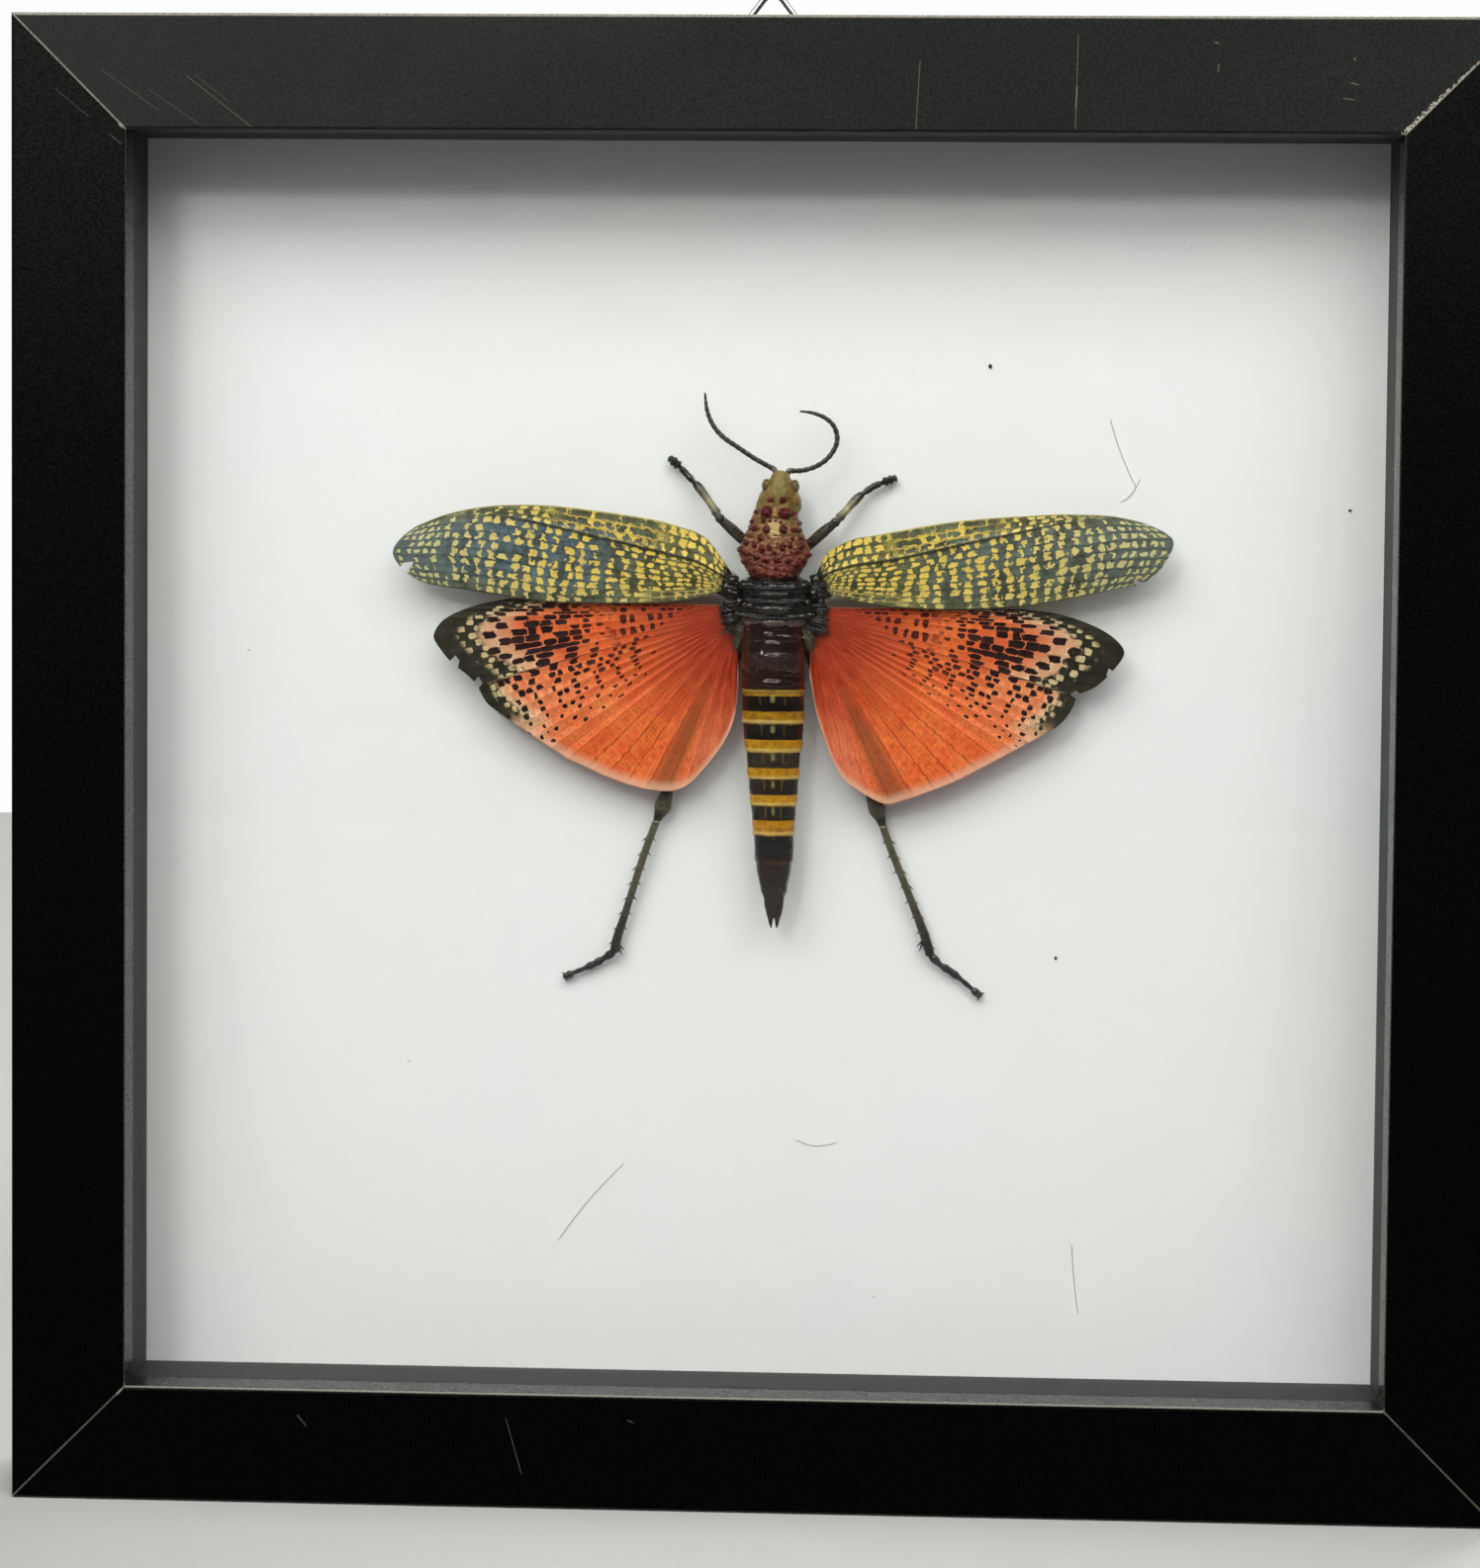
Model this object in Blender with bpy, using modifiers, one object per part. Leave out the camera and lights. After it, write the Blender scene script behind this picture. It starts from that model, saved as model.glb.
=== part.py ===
"""Framed locust specimen: a black box frame, 250 mm square, with a spread locust on a white board.

The frame stands on its bottom rail, and it can hang by a wire ring behind its top rail.
+X is to the viewer's right, +Y goes into the frame and +Z is up. The origin is at the middle
of the foot of the object. The specimen's points are in millimetres from the board's middle:
how far right, how far up, and how high off the board.
"""

import math

import bmesh
import bpy
from mathutils import Matrix, Vector

MM = 0.001

# Frame
FRAME_SIZE = 250 * MM
FRAME_DEPTH = 32 * MM
RAIL_FACE = 19.3 * MM
LIP_DEPTH = 6.5 * MM
RABBET = 6 * MM
EDGE_ROUND = 0.5 * MM
MITRE_GAP = 0.1 * MM
FIT = 0.3 * MM
LAYER_GAP = 0.1 * MM
GLASS_THICK = 2 * MM
BOARD_DEPTH = 20 * MM
BOARD_THICK = 3 * MM
PANEL_THICK = 3 * MM

# Fastenings at the back
TAB_SIZE = (8 * MM, 0.6 * MM, 11 * MM)
TAB_IN_RAIL = 4 * MM
TAB_AT = 60 * MM
LOOP_RADIUS = 1.35 * MM
HANGER_PROUD = 2 * LOOP_RADIUS + LAYER_GAP
HANGER_X = 0.7 * MM
HINGE_BELOW_TOP = 5 * MM
WIRE_RADIUS = 0.55 * MM
WIRE_PLAY = 0.1 * MM
RING_HALF_BASE = 10.7 * MM
RING_HEIGHT = 14 * MM
RING_BEND = 2 * MM
STRAP_WIDTH = 7 * MM
STRAP_THICK = 0.7 * MM
STRAP_DROP = 10 * MM
SCREW_DROP = 6.5 * MM
SCREW_RADIUS = 1.1 * MM
SCREW_LENGTH = 9 * MM

# Specimen, in millimetres
BODY_MIDDLE = 2.5
BODY_HEIGHT = 5.4
BODY_SIDES = 16
FOREWING_HEIGHT = 5.8
HINDWING_HEIGHT = 4.8
WING_THICK = 0.35
PIECE_GAP = 0.2

# Places worked out from the sizes above
FRONT_Y = -(FRAME_DEPTH + HANGER_PROUD) / 2
BACK_Y = FRONT_Y + FRAME_DEPTH
BOARD_Y = FRONT_Y + BOARD_DEPTH
HALF = FRAME_SIZE / 2
OPENING_HALF = HALF - RAIL_FACE
RABBET_HALF = OPENING_HALF + RABBET
HINGE = Vector((HANGER_X, BACK_Y + LAYER_GAP + LOOP_RADIUS, FRAME_SIZE - HINGE_BELOW_TOP))

COLOURS = {
    "black foil": ((0.012, 0.012, 0.013), 0.55, 0.0),
    "clear glass": ((0.95, 0.97, 0.96), 0.03, 0.0),
    "black spacer": ((0.03, 0.03, 0.032), 0.7, 0.0),
    "white board": ((0.80, 0.80, 0.79), 0.8, 0.0),
    "brown fibreboard": ((0.25, 0.16, 0.09), 0.85, 0.0),
    "bright steel": ((0.62, 0.62, 0.60), 0.3, 1.0),
    "olive shell": ((0.24, 0.22, 0.09), 0.45, 0.0),
    "maroon shell": ((0.20, 0.05, 0.04), 0.45, 0.0),
    "black shell": ((0.015, 0.014, 0.013), 0.3, 0.0),
    "banded shell": ((0.30, 0.20, 0.03), 0.35, 0.0),
    "slate wing": ((0.10, 0.13, 0.13), 0.5, 0.0),
    "red wing": ((0.55, 0.12, 0.06), 0.5, 0.0),
    "clear glue": ((0.75, 0.72, 0.62), 0.3, 0.0),
}


def clear_scene():
    """Takes away what the scene starts with."""
    for item in list(bpy.data.objects):
        bpy.data.objects.remove(item)


def make_collection(name):
    """A collection in the scene, for the object's pieces or for its cutters."""
    collection = bpy.data.collections.new(name)
    bpy.context.scene.collection.children.link(collection)
    return collection


clear_scene()
PIECES = make_collection("framed_locust_specimen")
CUTTERS = make_collection("cutters")


def finish_of(name):
    """The material with this name, made the first time that it is asked for."""
    material = bpy.data.materials.get(name)
    if material:
        return material
    colour, roughness, metallic = COLOURS[name]
    material = bpy.data.materials.new(name)
    material.use_nodes = True
    shader = material.node_tree.nodes["Principled BSDF"]
    shader.inputs["Base Color"].default_value = (*colour, 1.0)
    shader.inputs["Roughness"].default_value = roughness
    shader.inputs["Metallic"].default_value = metallic
    if name == "clear glass":
        shader.inputs["Transmission Weight"].default_value = 1.0
    return material


def add_piece(name, shape, finish, smooth=False):
    """Turns a bmesh into one named object of the model."""
    mesh = bpy.data.meshes.new(name)
    shape.to_mesh(mesh)
    shape.free()
    mesh.materials.append(finish_of(finish))
    if smooth:
        mesh.shade_smooth()
        mesh.set_sharp_from_angle(angle=math.radians(40))
    piece = bpy.data.objects.new(name, mesh)
    PIECES.objects.link(piece)
    return piece


def add_cutter(name, shape):
    """A helper shape that a Boolean cuts with or joins on."""
    mesh = bpy.data.meshes.new(name)
    shape.to_mesh(mesh)
    shape.free()
    cutter = bpy.data.objects.new(name, mesh)
    cutter.hide_render = True
    cutter.display_type = "WIRE"
    CUTTERS.objects.link(cutter)
    return cutter


def combine(piece, other, operation):
    """Cuts the other shape from the piece, or joins it on, and keeps the result as its mesh."""
    modifier = piece.modifiers.new(operation.lower(), "BOOLEAN")
    modifier.operation = operation
    modifier.solver = "EXACT"
    modifier.use_self = operation == "UNION"
    modifier.object = other


def add_block(shape, low, high):
    """Adds a box between two corners to a bmesh."""
    size = [b - a for a, b in zip(low, high)]
    middle = [(a + b) / 2 for a, b in zip(low, high)]
    matrix = Matrix.Translation(middle) @ Matrix.Diagonal((*size, 1))
    bmesh.ops.create_cube(shape, size=1, matrix=matrix)


def block(low, high):
    shape = bmesh.new()
    add_block(shape, low, high)
    return shape


def add_rod(shape, start, end, start_radius, end_radius, sides):
    """Adds a straight rod or cone between two points to a bmesh."""
    start, end = Vector(start), Vector(end)
    turn = (end - start).to_track_quat("Z", "Y").to_matrix().to_4x4()
    bmesh.ops.create_cone(
        shape, cap_ends=True, segments=sides, radius1=start_radius, radius2=end_radius,
        depth=(end - start).length, matrix=Matrix.Translation((start + end) / 2) @ turn)


def loft(rings):
    """A closed shape through rings that have the same number of points."""
    shape = bmesh.new()
    loops = [[shape.verts.new(point) for point in ring] for ring in rings]
    for first, second in zip(loops, loops[1:]):
        for i, corner in enumerate(first):
            j = (i + 1) % len(first)
            shape.faces.new((corner, first[j], second[j], second[i]))
    shape.faces.new(loops[0][::-1])
    shape.faces.new(loops[-1])
    bmesh.ops.recalc_face_normals(shape, faces=shape.faces)
    return shape


# The frame's rails


def rail_profile():
    """The rail's section as (distance in from the frame's edge, depth), with soft front edges."""
    points = []
    for corner_x, start in ((EDGE_ROUND, 180), (RAIL_FACE - EDGE_ROUND, 270)):
        for step in range(4):
            angle = math.radians(start + step * 30)
            points.append((corner_x + EDGE_ROUND * math.cos(angle), EDGE_ROUND * (1 + math.sin(angle))))
    points += [(RAIL_FACE, LIP_DEPTH), (RAIL_FACE - RABBET, LIP_DEPTH)]
    points += [(RAIL_FACE - RABBET, FRAME_DEPTH), (0, FRAME_DEPTH)]
    return points


def around(angle):
    """The turn that carries something made for the top rail to another side of the frame."""
    middle = Matrix.Translation((0, 0, HALF))
    return middle @ Matrix.Rotation(angle, 4, "Y") @ middle.inverted()


def make_rail(name, angle):
    """One rail with a mitre at each end, and the slots that its two steel points sit in."""
    rings = []
    for side in (-1, 1):
        ring = []
        for inset, depth in rail_profile():
            reach = HALF - inset - MITRE_GAP / 2
            ring.append((side * reach, FRONT_Y + depth, FRAME_SIZE - inset))
        rings.append(ring)
    shape = loft(rings)
    slots = bmesh.new()
    for side in (-1, 1):
        low, high = tab_corners(side * TAB_AT)
        add_block(slots, [a - FIT for a in low], [a + FIT for a in high])
    for thing in (shape, slots):
        thing.transform(around(angle))
    rail = add_piece(name, shape, "black foil")
    combine(rail, add_cutter(name + "_slots", slots), "DIFFERENCE")
    return rail


def tab_corners(x):
    """The corners of one steel point of the top rail, centred at x."""
    width, thick, length = TAB_SIZE
    back = BOARD_Y + BOARD_THICK + PANEL_THICK + 2 * LAYER_GAP
    top = HALF + RABBET_HALF + TAB_IN_RAIL
    low = (x - width / 2, back, top - length)
    high = (x + width / 2, back + thick, top)
    return low, high


def make_frame():
    sides = {"top": 0, "right": 90, "bottom": 180, "left": 270}
    for side, degrees in sides.items():
        angle = math.radians(degrees)
        make_rail("rail_" + side, angle)
        for place, x in (("a", -TAB_AT), ("b", TAB_AT)):
            tab = block(*tab_corners(x))
            tab.transform(around(angle))
            add_piece("tab_" + side + "_" + place, tab, "bright steel")


# What the rabbet holds, from the glass to the back panel


def sheet_in_rabbet(name, front, thick, finish):
    reach = RABBET_HALF - FIT
    low = (-reach, front, HALF - reach)
    high = (reach, front + thick, HALF + reach)
    return add_piece(name, block(low, high), finish)


def make_stack():
    glass_front = FRONT_Y + LIP_DEPTH + LAYER_GAP
    sheet_in_rabbet("glass_pane", glass_front, GLASS_THICK, "clear glass")
    sheet_in_rabbet("display_board", BOARD_Y, BOARD_THICK, "white board")
    sheet_in_rabbet("back_panel", BOARD_Y + BOARD_THICK + LAYER_GAP, PANEL_THICK, "brown fibreboard")
    front = glass_front + GLASS_THICK + LAYER_GAP
    back = BOARD_Y - LAYER_GAP
    outer = RABBET_HALF - FIT
    inner = OPENING_HALF + FIT
    for side, sign in (("left", -1), ("right", 1)):
        low = (min(sign * inner, sign * outer), front, HALF - outer)
        high = (max(sign * inner, sign * outer), back, HALF + outer)
        add_piece("spacer_" + side, block(low, high), "black spacer")
    reach = inner - LAYER_GAP
    for side, sign in (("bottom", -1), ("top", 1)):
        low = (-reach, front, HALF + min(sign * inner, sign * outer))
        high = (reach, back, HALF + max(sign * inner, sign * outer))
        add_piece("spacer_" + side, block(low, high), "black spacer")


# The hanger


def corner_arc(before, corner, after, radius, steps):
    """Points round a bend of this radius between two straight runs of wire."""
    to_before = (before - corner).normalized()
    to_after = (after - corner).normalized()
    half = to_before.angle(to_after) / 2
    centre = corner + (to_before + to_after).normalized() * radius / math.sin(half)
    start = corner + to_before * radius / math.tan(half) - centre
    end = corner + to_after * radius / math.tan(half) - centre
    return [centre + start.slerp(end, i / steps) * radius for i in range(steps + 1)]


def wire_mesh(name, points, radius, closed, resolution):
    """A round wire along points, as a welded bmesh; points may be (place, radius) pairs."""
    curve = bpy.data.curves.new(name, "CURVE")
    curve.dimensions = "3D"
    curve.bevel_depth = radius
    curve.bevel_resolution = resolution
    curve.use_fill_caps = True
    spline = curve.splines.new("POLY")
    spline.points.add(len(points) - 1)
    for point, (place, share) in zip(spline.points, points):
        point.co = (*place, 1)
        point.radius = share
    spline.use_cyclic_u = closed
    holder = bpy.data.objects.new(name + "_route", curve)
    CUTTERS.objects.link(holder)
    bpy.context.view_layer.update()
    evaluated = holder.evaluated_get(bpy.context.evaluated_depsgraph_get())
    mesh = bpy.data.meshes.new_from_object(evaluated)
    shape = bmesh.new()
    shape.from_mesh(mesh)
    bmesh.ops.remove_doubles(shape, verts=shape.verts, dist=0.001 * MM)
    bmesh.ops.recalc_face_normals(shape, faces=shape.faces)
    bpy.data.objects.remove(holder)
    bpy.data.meshes.remove(mesh)
    return shape


def make_ring():
    """The triangular wire ring, with its base in the strap's loop."""
    left = HINGE + Vector((-RING_HALF_BASE, 0, 0))
    right = HINGE + Vector((RING_HALF_BASE, 0, 0))
    apex = HINGE + Vector((0, 0, RING_HEIGHT))
    route = corner_arc(apex, left, right, RING_BEND, 4)
    route += [HINGE + Vector((STRAP_WIDTH * side, 0, 0)) for side in (-0.6, 0.6)]
    route += corner_arc(left, right, apex, RING_BEND, 4)
    route += corner_arc(right, apex, left, RING_BEND, 4)
    shape = wire_mesh("hanging_ring", [(place, 1) for place in route], WIRE_RADIUS, True, 3)
    add_piece("hanging_ring", shape, "bright steel", smooth=True)


def make_hanger():
    """The strap with its rolled loop, and the screw that holds it to the top rail."""
    low = (HANGER_X - STRAP_WIDTH / 2, BACK_Y + LAYER_GAP, HINGE.z - STRAP_DROP)
    high = (HANGER_X + STRAP_WIDTH / 2, BACK_Y + LAYER_GAP + STRAP_THICK, HINGE.z)
    strap = add_piece("hanger_strap", block(low, high), "bright steel", smooth=True)
    ends = [HINGE + Vector((side * STRAP_WIDTH / 2, 0, 0)) for side in (-1, 1)]
    roll = bmesh.new()
    add_rod(roll, ends[0], ends[1], LOOP_RADIUS, LOOP_RADIUS, 20)
    combine(strap, add_cutter("strap_roll", roll), "UNION")
    past = Vector((STRAP_WIDTH, 0, 0))
    hole = bmesh.new()
    hole_radius = WIRE_RADIUS + WIRE_PLAY
    add_rod(hole, ends[0] - past, ends[1] + past, hole_radius, hole_radius, 20)
    screw_z = HINGE.z - SCREW_DROP
    start = Vector((HANGER_X, BACK_Y - SCREW_LENGTH, screw_z))
    add_rod(hole, start, start + Vector((0, 3 * SCREW_LENGTH, 0)), SCREW_RADIUS + FIT, SCREW_RADIUS + FIT, 16)
    combine(strap, add_cutter("strap_holes", hole), "DIFFERENCE")
    rail_hole = bmesh.new()
    deep = Vector((0, FIT, 0))
    mouth = Vector((HANGER_X, BACK_Y + SCREW_LENGTH, screw_z))
    add_rod(rail_hole, start - deep, mouth, SCREW_RADIUS + FIT, SCREW_RADIUS + FIT, 16)
    combine(bpy.data.objects["rail_top"], add_cutter("rail_screw_hole", rail_hole), "DIFFERENCE")
    make_screw(screw_z)


def make_screw(screw_z):
    """A domed screw, turned from its half outline, with a slot across its head."""
    head_radius = 2 * SCREW_RADIUS
    head_base = STRAP_THICK + 2 * LAYER_GAP
    outline = [(0, head_base + 1.4 * MM), (1.3 * MM, head_base + 1.2 * MM), (head_radius, head_base + 0.5 * MM)]
    outline += [(head_radius, head_base), (SCREW_RADIUS, head_base), (SCREW_RADIUS, -SCREW_LENGTH + 2 * MM)]
    outline += [(0, -SCREW_LENGTH + FIT)]
    shape = bmesh.new()
    corners = [shape.verts.new((radius, 0, along)) for radius, along in outline]
    for first, second in zip(corners, corners[1:]):
        shape.edges.new((first, second))
    screw = add_piece("hanger_screw", shape, "bright steel")
    turned = screw.modifiers.new("turned", "SCREW")
    turned.steps = turned.render_steps = 16
    turned.use_merge_vertices = True
    turned.merge_threshold = 0.01 * MM
    screw.location = (HANGER_X, BACK_Y, screw_z)
    screw.rotation_euler = (math.radians(-90), 0, 0)
    top = BACK_Y + head_base
    low = (HANGER_X - 3 * MM, top + 0.8 * MM, screw_z - 0.3 * MM)
    high = (HANGER_X + 3 * MM, top + 3 * MM, screw_z + 0.3 * MM)
    combine(screw, add_cutter("screw_slot", block(low, high)), "DIFFERENCE")


# The specimen's body


def spot(x, z, height):
    """A point of the specimen, from millimetres right of, above and off the board's middle."""
    return Vector((x * MM, BOARD_Y - height * MM, HALF + z * MM))


def body_ring(z, half_width, half_thick, middle=BODY_MIDDLE, height=BODY_HEIGHT, sides=BODY_SIDES):
    """An oval ring round the body's long axis."""
    ring = []
    for i in range(sides):
        angle = 2 * math.pi * (i + 0.5) / sides
        x = middle + half_width * math.cos(angle)
        ring.append(spot(x, z, height + half_thick * math.sin(angle)))
    return ring


# Head, from the neck to the tip: (z, half width, half thickness, height)
HEAD_STATIONS = [(43.25, 3.2, 3.0, 5.2), (44.6, 3.7, 3.5, 5.2), (46.2, 3.25, 3.4, 5.3),
                 (47.6, 2.5, 3.0, 5.6), (48.8, 1.75, 2.1, 6.1), (49.6, 1.0, 1.2, 6.5), (49.95, 0.4, 0.5, 6.6)]
EYES = [(0.95, 47.3, 7.0), (6.05, 47.2, 7.0)]
EYE_RADIUS = 0.95
HEAD_MIDDLE = 3.3

# Pronotum, from front to rear: (z, half width, half thickness)
PRONOTUM_STATIONS = [(42.95, 3.5, 3.3), (42.4, 3.8, 3.6), (40.3, 4.55, 3.9), (38.6, 5.2, 4.0),
                     (36.9, 5.95, 4.1), (35.9, 6.2, 4.1), (34.4, 5.6, 4.0), (33.0, 4.8, 3.9), (31.65, 3.9, 3.6)]
# Tubercles seen from above: (x from the midline, z, radius)
TUBERCLES = [(1.6, 42.2, 0.85), (3.2, 42.0, 0.55), (1.6, 39.8, 0.95), (3.6, 40.5, 0.6), (4.3, 39.3, 0.65),
             (2.9, 38.4, 0.6), (1.2, 37.6, 0.65), (4.0, 37.6, 0.65), (5.2, 37.4, 0.65), (2.6, 36.6, 0.7),
             (5.9, 35.9, 0.65), (4.2, 35.7, 0.65), (1.0, 35.7, 0.6), (2.8, 34.8, 0.6), (4.6, 34.2, 0.6),
             (1.6, 33.9, 0.6), (3.3, 33.2, 0.55), (0.8, 32.4, 0.45), (2.4, 32.2, 0.45)]

# Thorax, from rear to front, with the swellings that carry the two pairs of wings
THORAX_STATIONS = [(24.15, 5.2, 3.3), (24.6, 6.6, 3.5), (25.8, 7.5, 3.8), (26.9, 7.3, 3.9), (27.8, 6.6, 3.9),
                   (28.8, 6.4, 4.0), (29.8, 6.7, 4.0), (30.7, 6.4, 3.9), (31.45, 4.6, 3.6)]

# Abdomen: half width at each z, and where each ring of the abdomen ends
ABDOMEN_WIDTHS = [(24, 5.1), (18, 5.5), (11, 5.4), (6, 5.2), (0.4, 4.6), (-3.6, 4.3), (-8.3, 3.85),
                  (-11.8, 3.55), (-15, 3.35), (-18, 3.0), (-22, 2.05), (-25.2, 1.4), (-26, 1.1)]
ABDOMEN_RINGS = [23.95, 18.3, 12.4, 7.05, 2.26, -2.43, -6.91, -12.0, -16.6, -22.0, -26.0]
ABDOMEN_FLATNESS = 0.72
RING_STEP = 0.28
TAIL_DRIFT = 0.012
TAIL_MIDDLE = 2.93


def between(table, z):
    """Reads a value between the entries of a table that runs downwards in z."""
    for (z_above, above), (z_below, below) in zip(table, table[1:]):
        if z >= z_below:
            share = (z_above - z) / (z_above - z_below)
            return above + (below - above) * share
    return table[-1][1]


def make_head():
    rings = [body_ring(z, wide, thick, HEAD_MIDDLE, height) for z, wide, thick, height in HEAD_STATIONS]
    head = add_piece("head", loft(rings), "olive shell", smooth=True)
    eyes = bmesh.new()
    for x, z, height in EYES:
        place = Matrix.Translation(spot(x, z, height)) @ Matrix.Diagonal((1, 1.2, 1.15, 1))
        bmesh.ops.create_uvsphere(eyes, u_segments=10, v_segments=7, radius=EYE_RADIUS * MM, matrix=place)
    combine(head, add_cutter("eyes", eyes), "UNION")


def make_pronotum():
    """The saddle behind the head, with its rows of blunt tubercles grown on it."""
    rings = [body_ring(z, wide, thick) for z, wide, thick in PRONOTUM_STATIONS]
    pronotum = add_piece("pronotum", loft(rings), "maroon shell", smooth=True)
    lumps = bmesh.new()
    for side in (-1, 1):
        for x, z, radius in TUBERCLES:
            wide = between([(z_at, w) for z_at, w, _ in PRONOTUM_STATIONS], z)
            thick = between([(z_at, t) for z_at, _, t in PRONOTUM_STATIONS], z)
            lean = math.asin(min(0.97, x / wide))
            out = Vector((side * math.sin(lean), -math.cos(lean), 0))
            reach = BODY_MIDDLE + side * wide * math.sin(lean)
            foot = spot(reach, z, BODY_HEIGHT + thick * math.cos(lean))
            add_rod(lumps, foot - out * 0.5 * MM, foot + out * 0.65 * radius * MM,
                    1.15 * radius * MM, 0.5 * radius * MM, 6)
    combine(pronotum, add_cutter("tubercles", lumps), "UNION")


def make_thorax():
    rings = [body_ring(*station) for station in THORAX_STATIONS]
    add_piece("thorax", loft(rings), "black shell", smooth=True)


def make_abdomen():
    """Overlapping rings that taper to a forked tip."""
    rings = []
    for front, rear in zip(ABDOMEN_RINGS, ABDOMEN_RINGS[1:]):
        for share, step in ((0.02, RING_STEP), (0.35, 0.05), (0.94, 0)):
            z = front + (rear - front) * share
            wide = between(ABDOMEN_WIDTHS, z) - step
            thick = wide * ABDOMEN_FLATNESS
            rings.append(body_ring(z, wide, thick, BODY_MIDDLE + TAIL_DRIFT * (12 - z)))
    abdomen = add_piece("abdomen", loft(rings), "banded shell", smooth=True)
    valves = bmesh.new()
    for side in (-1, 1):
        start = spot(TAIL_MIDDLE + side * 0.5, -24.5, BODY_HEIGHT)
        end = spot(TAIL_MIDDLE + side * 0.48, -28, BODY_HEIGHT - 0.2)
        add_rod(valves, start, end, 0.8 * MM, 0.12 * MM, 6)
    combine(abdomen, add_cutter("tail_valves", valves), "UNION")


# The wings


def smooth_line(points, count):
    """Points at even steps along a smooth curve through the given (x, z) points."""
    points = [Vector(point) for point in points]
    ends = [points[0]] + points + [points[-1]]
    dense = []
    for a, b, c, d in zip(ends, ends[1:], ends[2:], ends[3:]):
        for t in (0, 0.125, 0.25, 0.375, 0.5, 0.625, 0.75, 0.875):
            bend = (2 * a - 5 * b + 4 * c - d) * t * t + (3 * b - a - 3 * c + d) * t ** 3
            dense.append((2 * b + (c - a) * t + bend) / 2)
    dense.append(points[-1])
    lengths = [0]
    for first, second in zip(dense, dense[1:]):
        lengths.append(lengths[-1] + (second - first).length)
    line = []
    for step in range(count):
        wanted = lengths[-1] * step / (count - 1)
        i = max(k for k in range(len(dense) - 1) if lengths[k] <= wanted)
        share = (wanted - lengths[i]) / (lengths[i + 1] - lengths[i])
        line.append(dense[i].lerp(dense[i + 1], share))
    return line


def add_wing(name, rows, finish):
    """A thin closed wing from a grid of points."""
    shape = bmesh.new()
    corners = [[shape.verts.new(point) for point in row] for row in rows]
    for first, second in zip(corners, corners[1:]):
        for i in range(len(first) - 1):
            shape.faces.new((first[i], first[i + 1], second[i + 1], second[i]))
    bmesh.ops.remove_doubles(shape, verts=shape.verts, dist=0.02 * MM)
    wing = add_piece(name, shape, finish)
    solid = wing.modifiers.new("thickness", "SOLIDIFY")
    solid.thickness = WING_THICK * MM
    solid.offset = 0
    return wing


# Forewing edges from root to tip, as (x, z)
FOREWING_STATIONS = 26
FOREWING_ROWS = 8
FOREWING_RIDGE = 0.12
FOREWING_CAMBER = 0.5
FOREWING_EDGES = {
    "left": (
        [(-4.7, 32.4), (-9, 38.2), (-13.5, 40.2), (-20.3, 41.8), (-34, 43.5), (-42, 43.7), (-48.4, 43.1),
         (-54.2, 41.7), (-58.8, 39.8), (-61.3, 37.8), (-62.6, 35.5), (-61.5, 33.2)],
        [(-4.7, 29.9), (-8.4, 28.8), (-12, 28), (-16.6, 27.4), (-22.4, 27.1), (-36, 27.2), (-47.4, 28.8),
         (-56.5, 30.1), (-59.8, 31.6), (-61.5, 33.2)]),
    "right": (
        [(9.7, 32.4), (11.4, 36), (15.5, 38.3), (20, 39.2), (33.4, 41.6), (46.8, 42.7), (53.5, 42.9),
         (59.8, 42.6), (64.7, 41.6), (68.3, 40.1), (69.9, 38.2), (68.2, 34.4)],
        [(9.7, 29.9), (12, 28.9), (20, 27.3), (26.8, 26.7), (33.6, 26.6), (40.3, 26.9), (47, 27.6),
         (58.2, 29.9), (64.2, 31.2), (68.2, 34.4)]),
}

# Hindwing: the ray roots along the body, and the margin that the rays run to, as (x, z)
HINDWING_RAYS = 37
HINDWING_STEPS = 6
HINDWING_PLEAT = 0.28
HINDWING_ROOTS = {"left": ((-5.4, 26.9), (-3.8, 22.6)), "right": ((10.4, 26.7), (8.7, 22.4))}
HINDWING_MARGINS = {
    "left": [(-42.8, 27.7), (-47, 26.9), (-51, 25.6), (-54.2, 23.8), (-55.6, 21.6), (-55.2, 19.9),
             (-52.5, 16.6), (-50.2, 14.9), (-48.2, 13), (-46.6, 10), (-44.4, 8.2), (-40.9, 5.8), (-32.6, 0.4),
             (-23.7, -3.4), (-16.6, -4.9), (-12.6, -4.2), (-9.5, -1.3), (-6, 3.4), (-4.1, 8), (-3.5, 15)],
    "right": [(44.8, 26.8), (50.4, 26.1), (55.2, 24.7), (59, 22.9), (61.4, 20.8), (61.8, 19.1), (60, 16.5),
              (57.2, 13.8), (53.9, 12.3), (53.4, 10.4), (51.7, 7.8), (48.8, 5.7), (41, 1.3), (32.8, -3),
              (24.6, -6.1), (21.9, -6.7), (18.2, -5), (14, -1.7), (10.4, 6.9), (8.6, 15)],
}


def make_forewing(side):
    leading, trailing = FOREWING_EDGES[side]
    lines = zip(smooth_line(leading, FOREWING_STATIONS), smooth_line(trailing, FOREWING_STATIONS))
    rows = []
    for front, rear in lines:
        row = []
        for step in range(FOREWING_ROWS + 1):
            share = step / FOREWING_ROWS
            place = front.lerp(rear, share)
            bow = FOREWING_CAMBER * math.sin(math.pi * share) + FOREWING_RIDGE * (step % 2)
            row.append(spot(place.x, place.y, FOREWING_HEIGHT + bow * min(1, (front - rear).length / 4)))
        rows.append(row)
    add_wing("forewing_" + side, rows, "slate wing")


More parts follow.
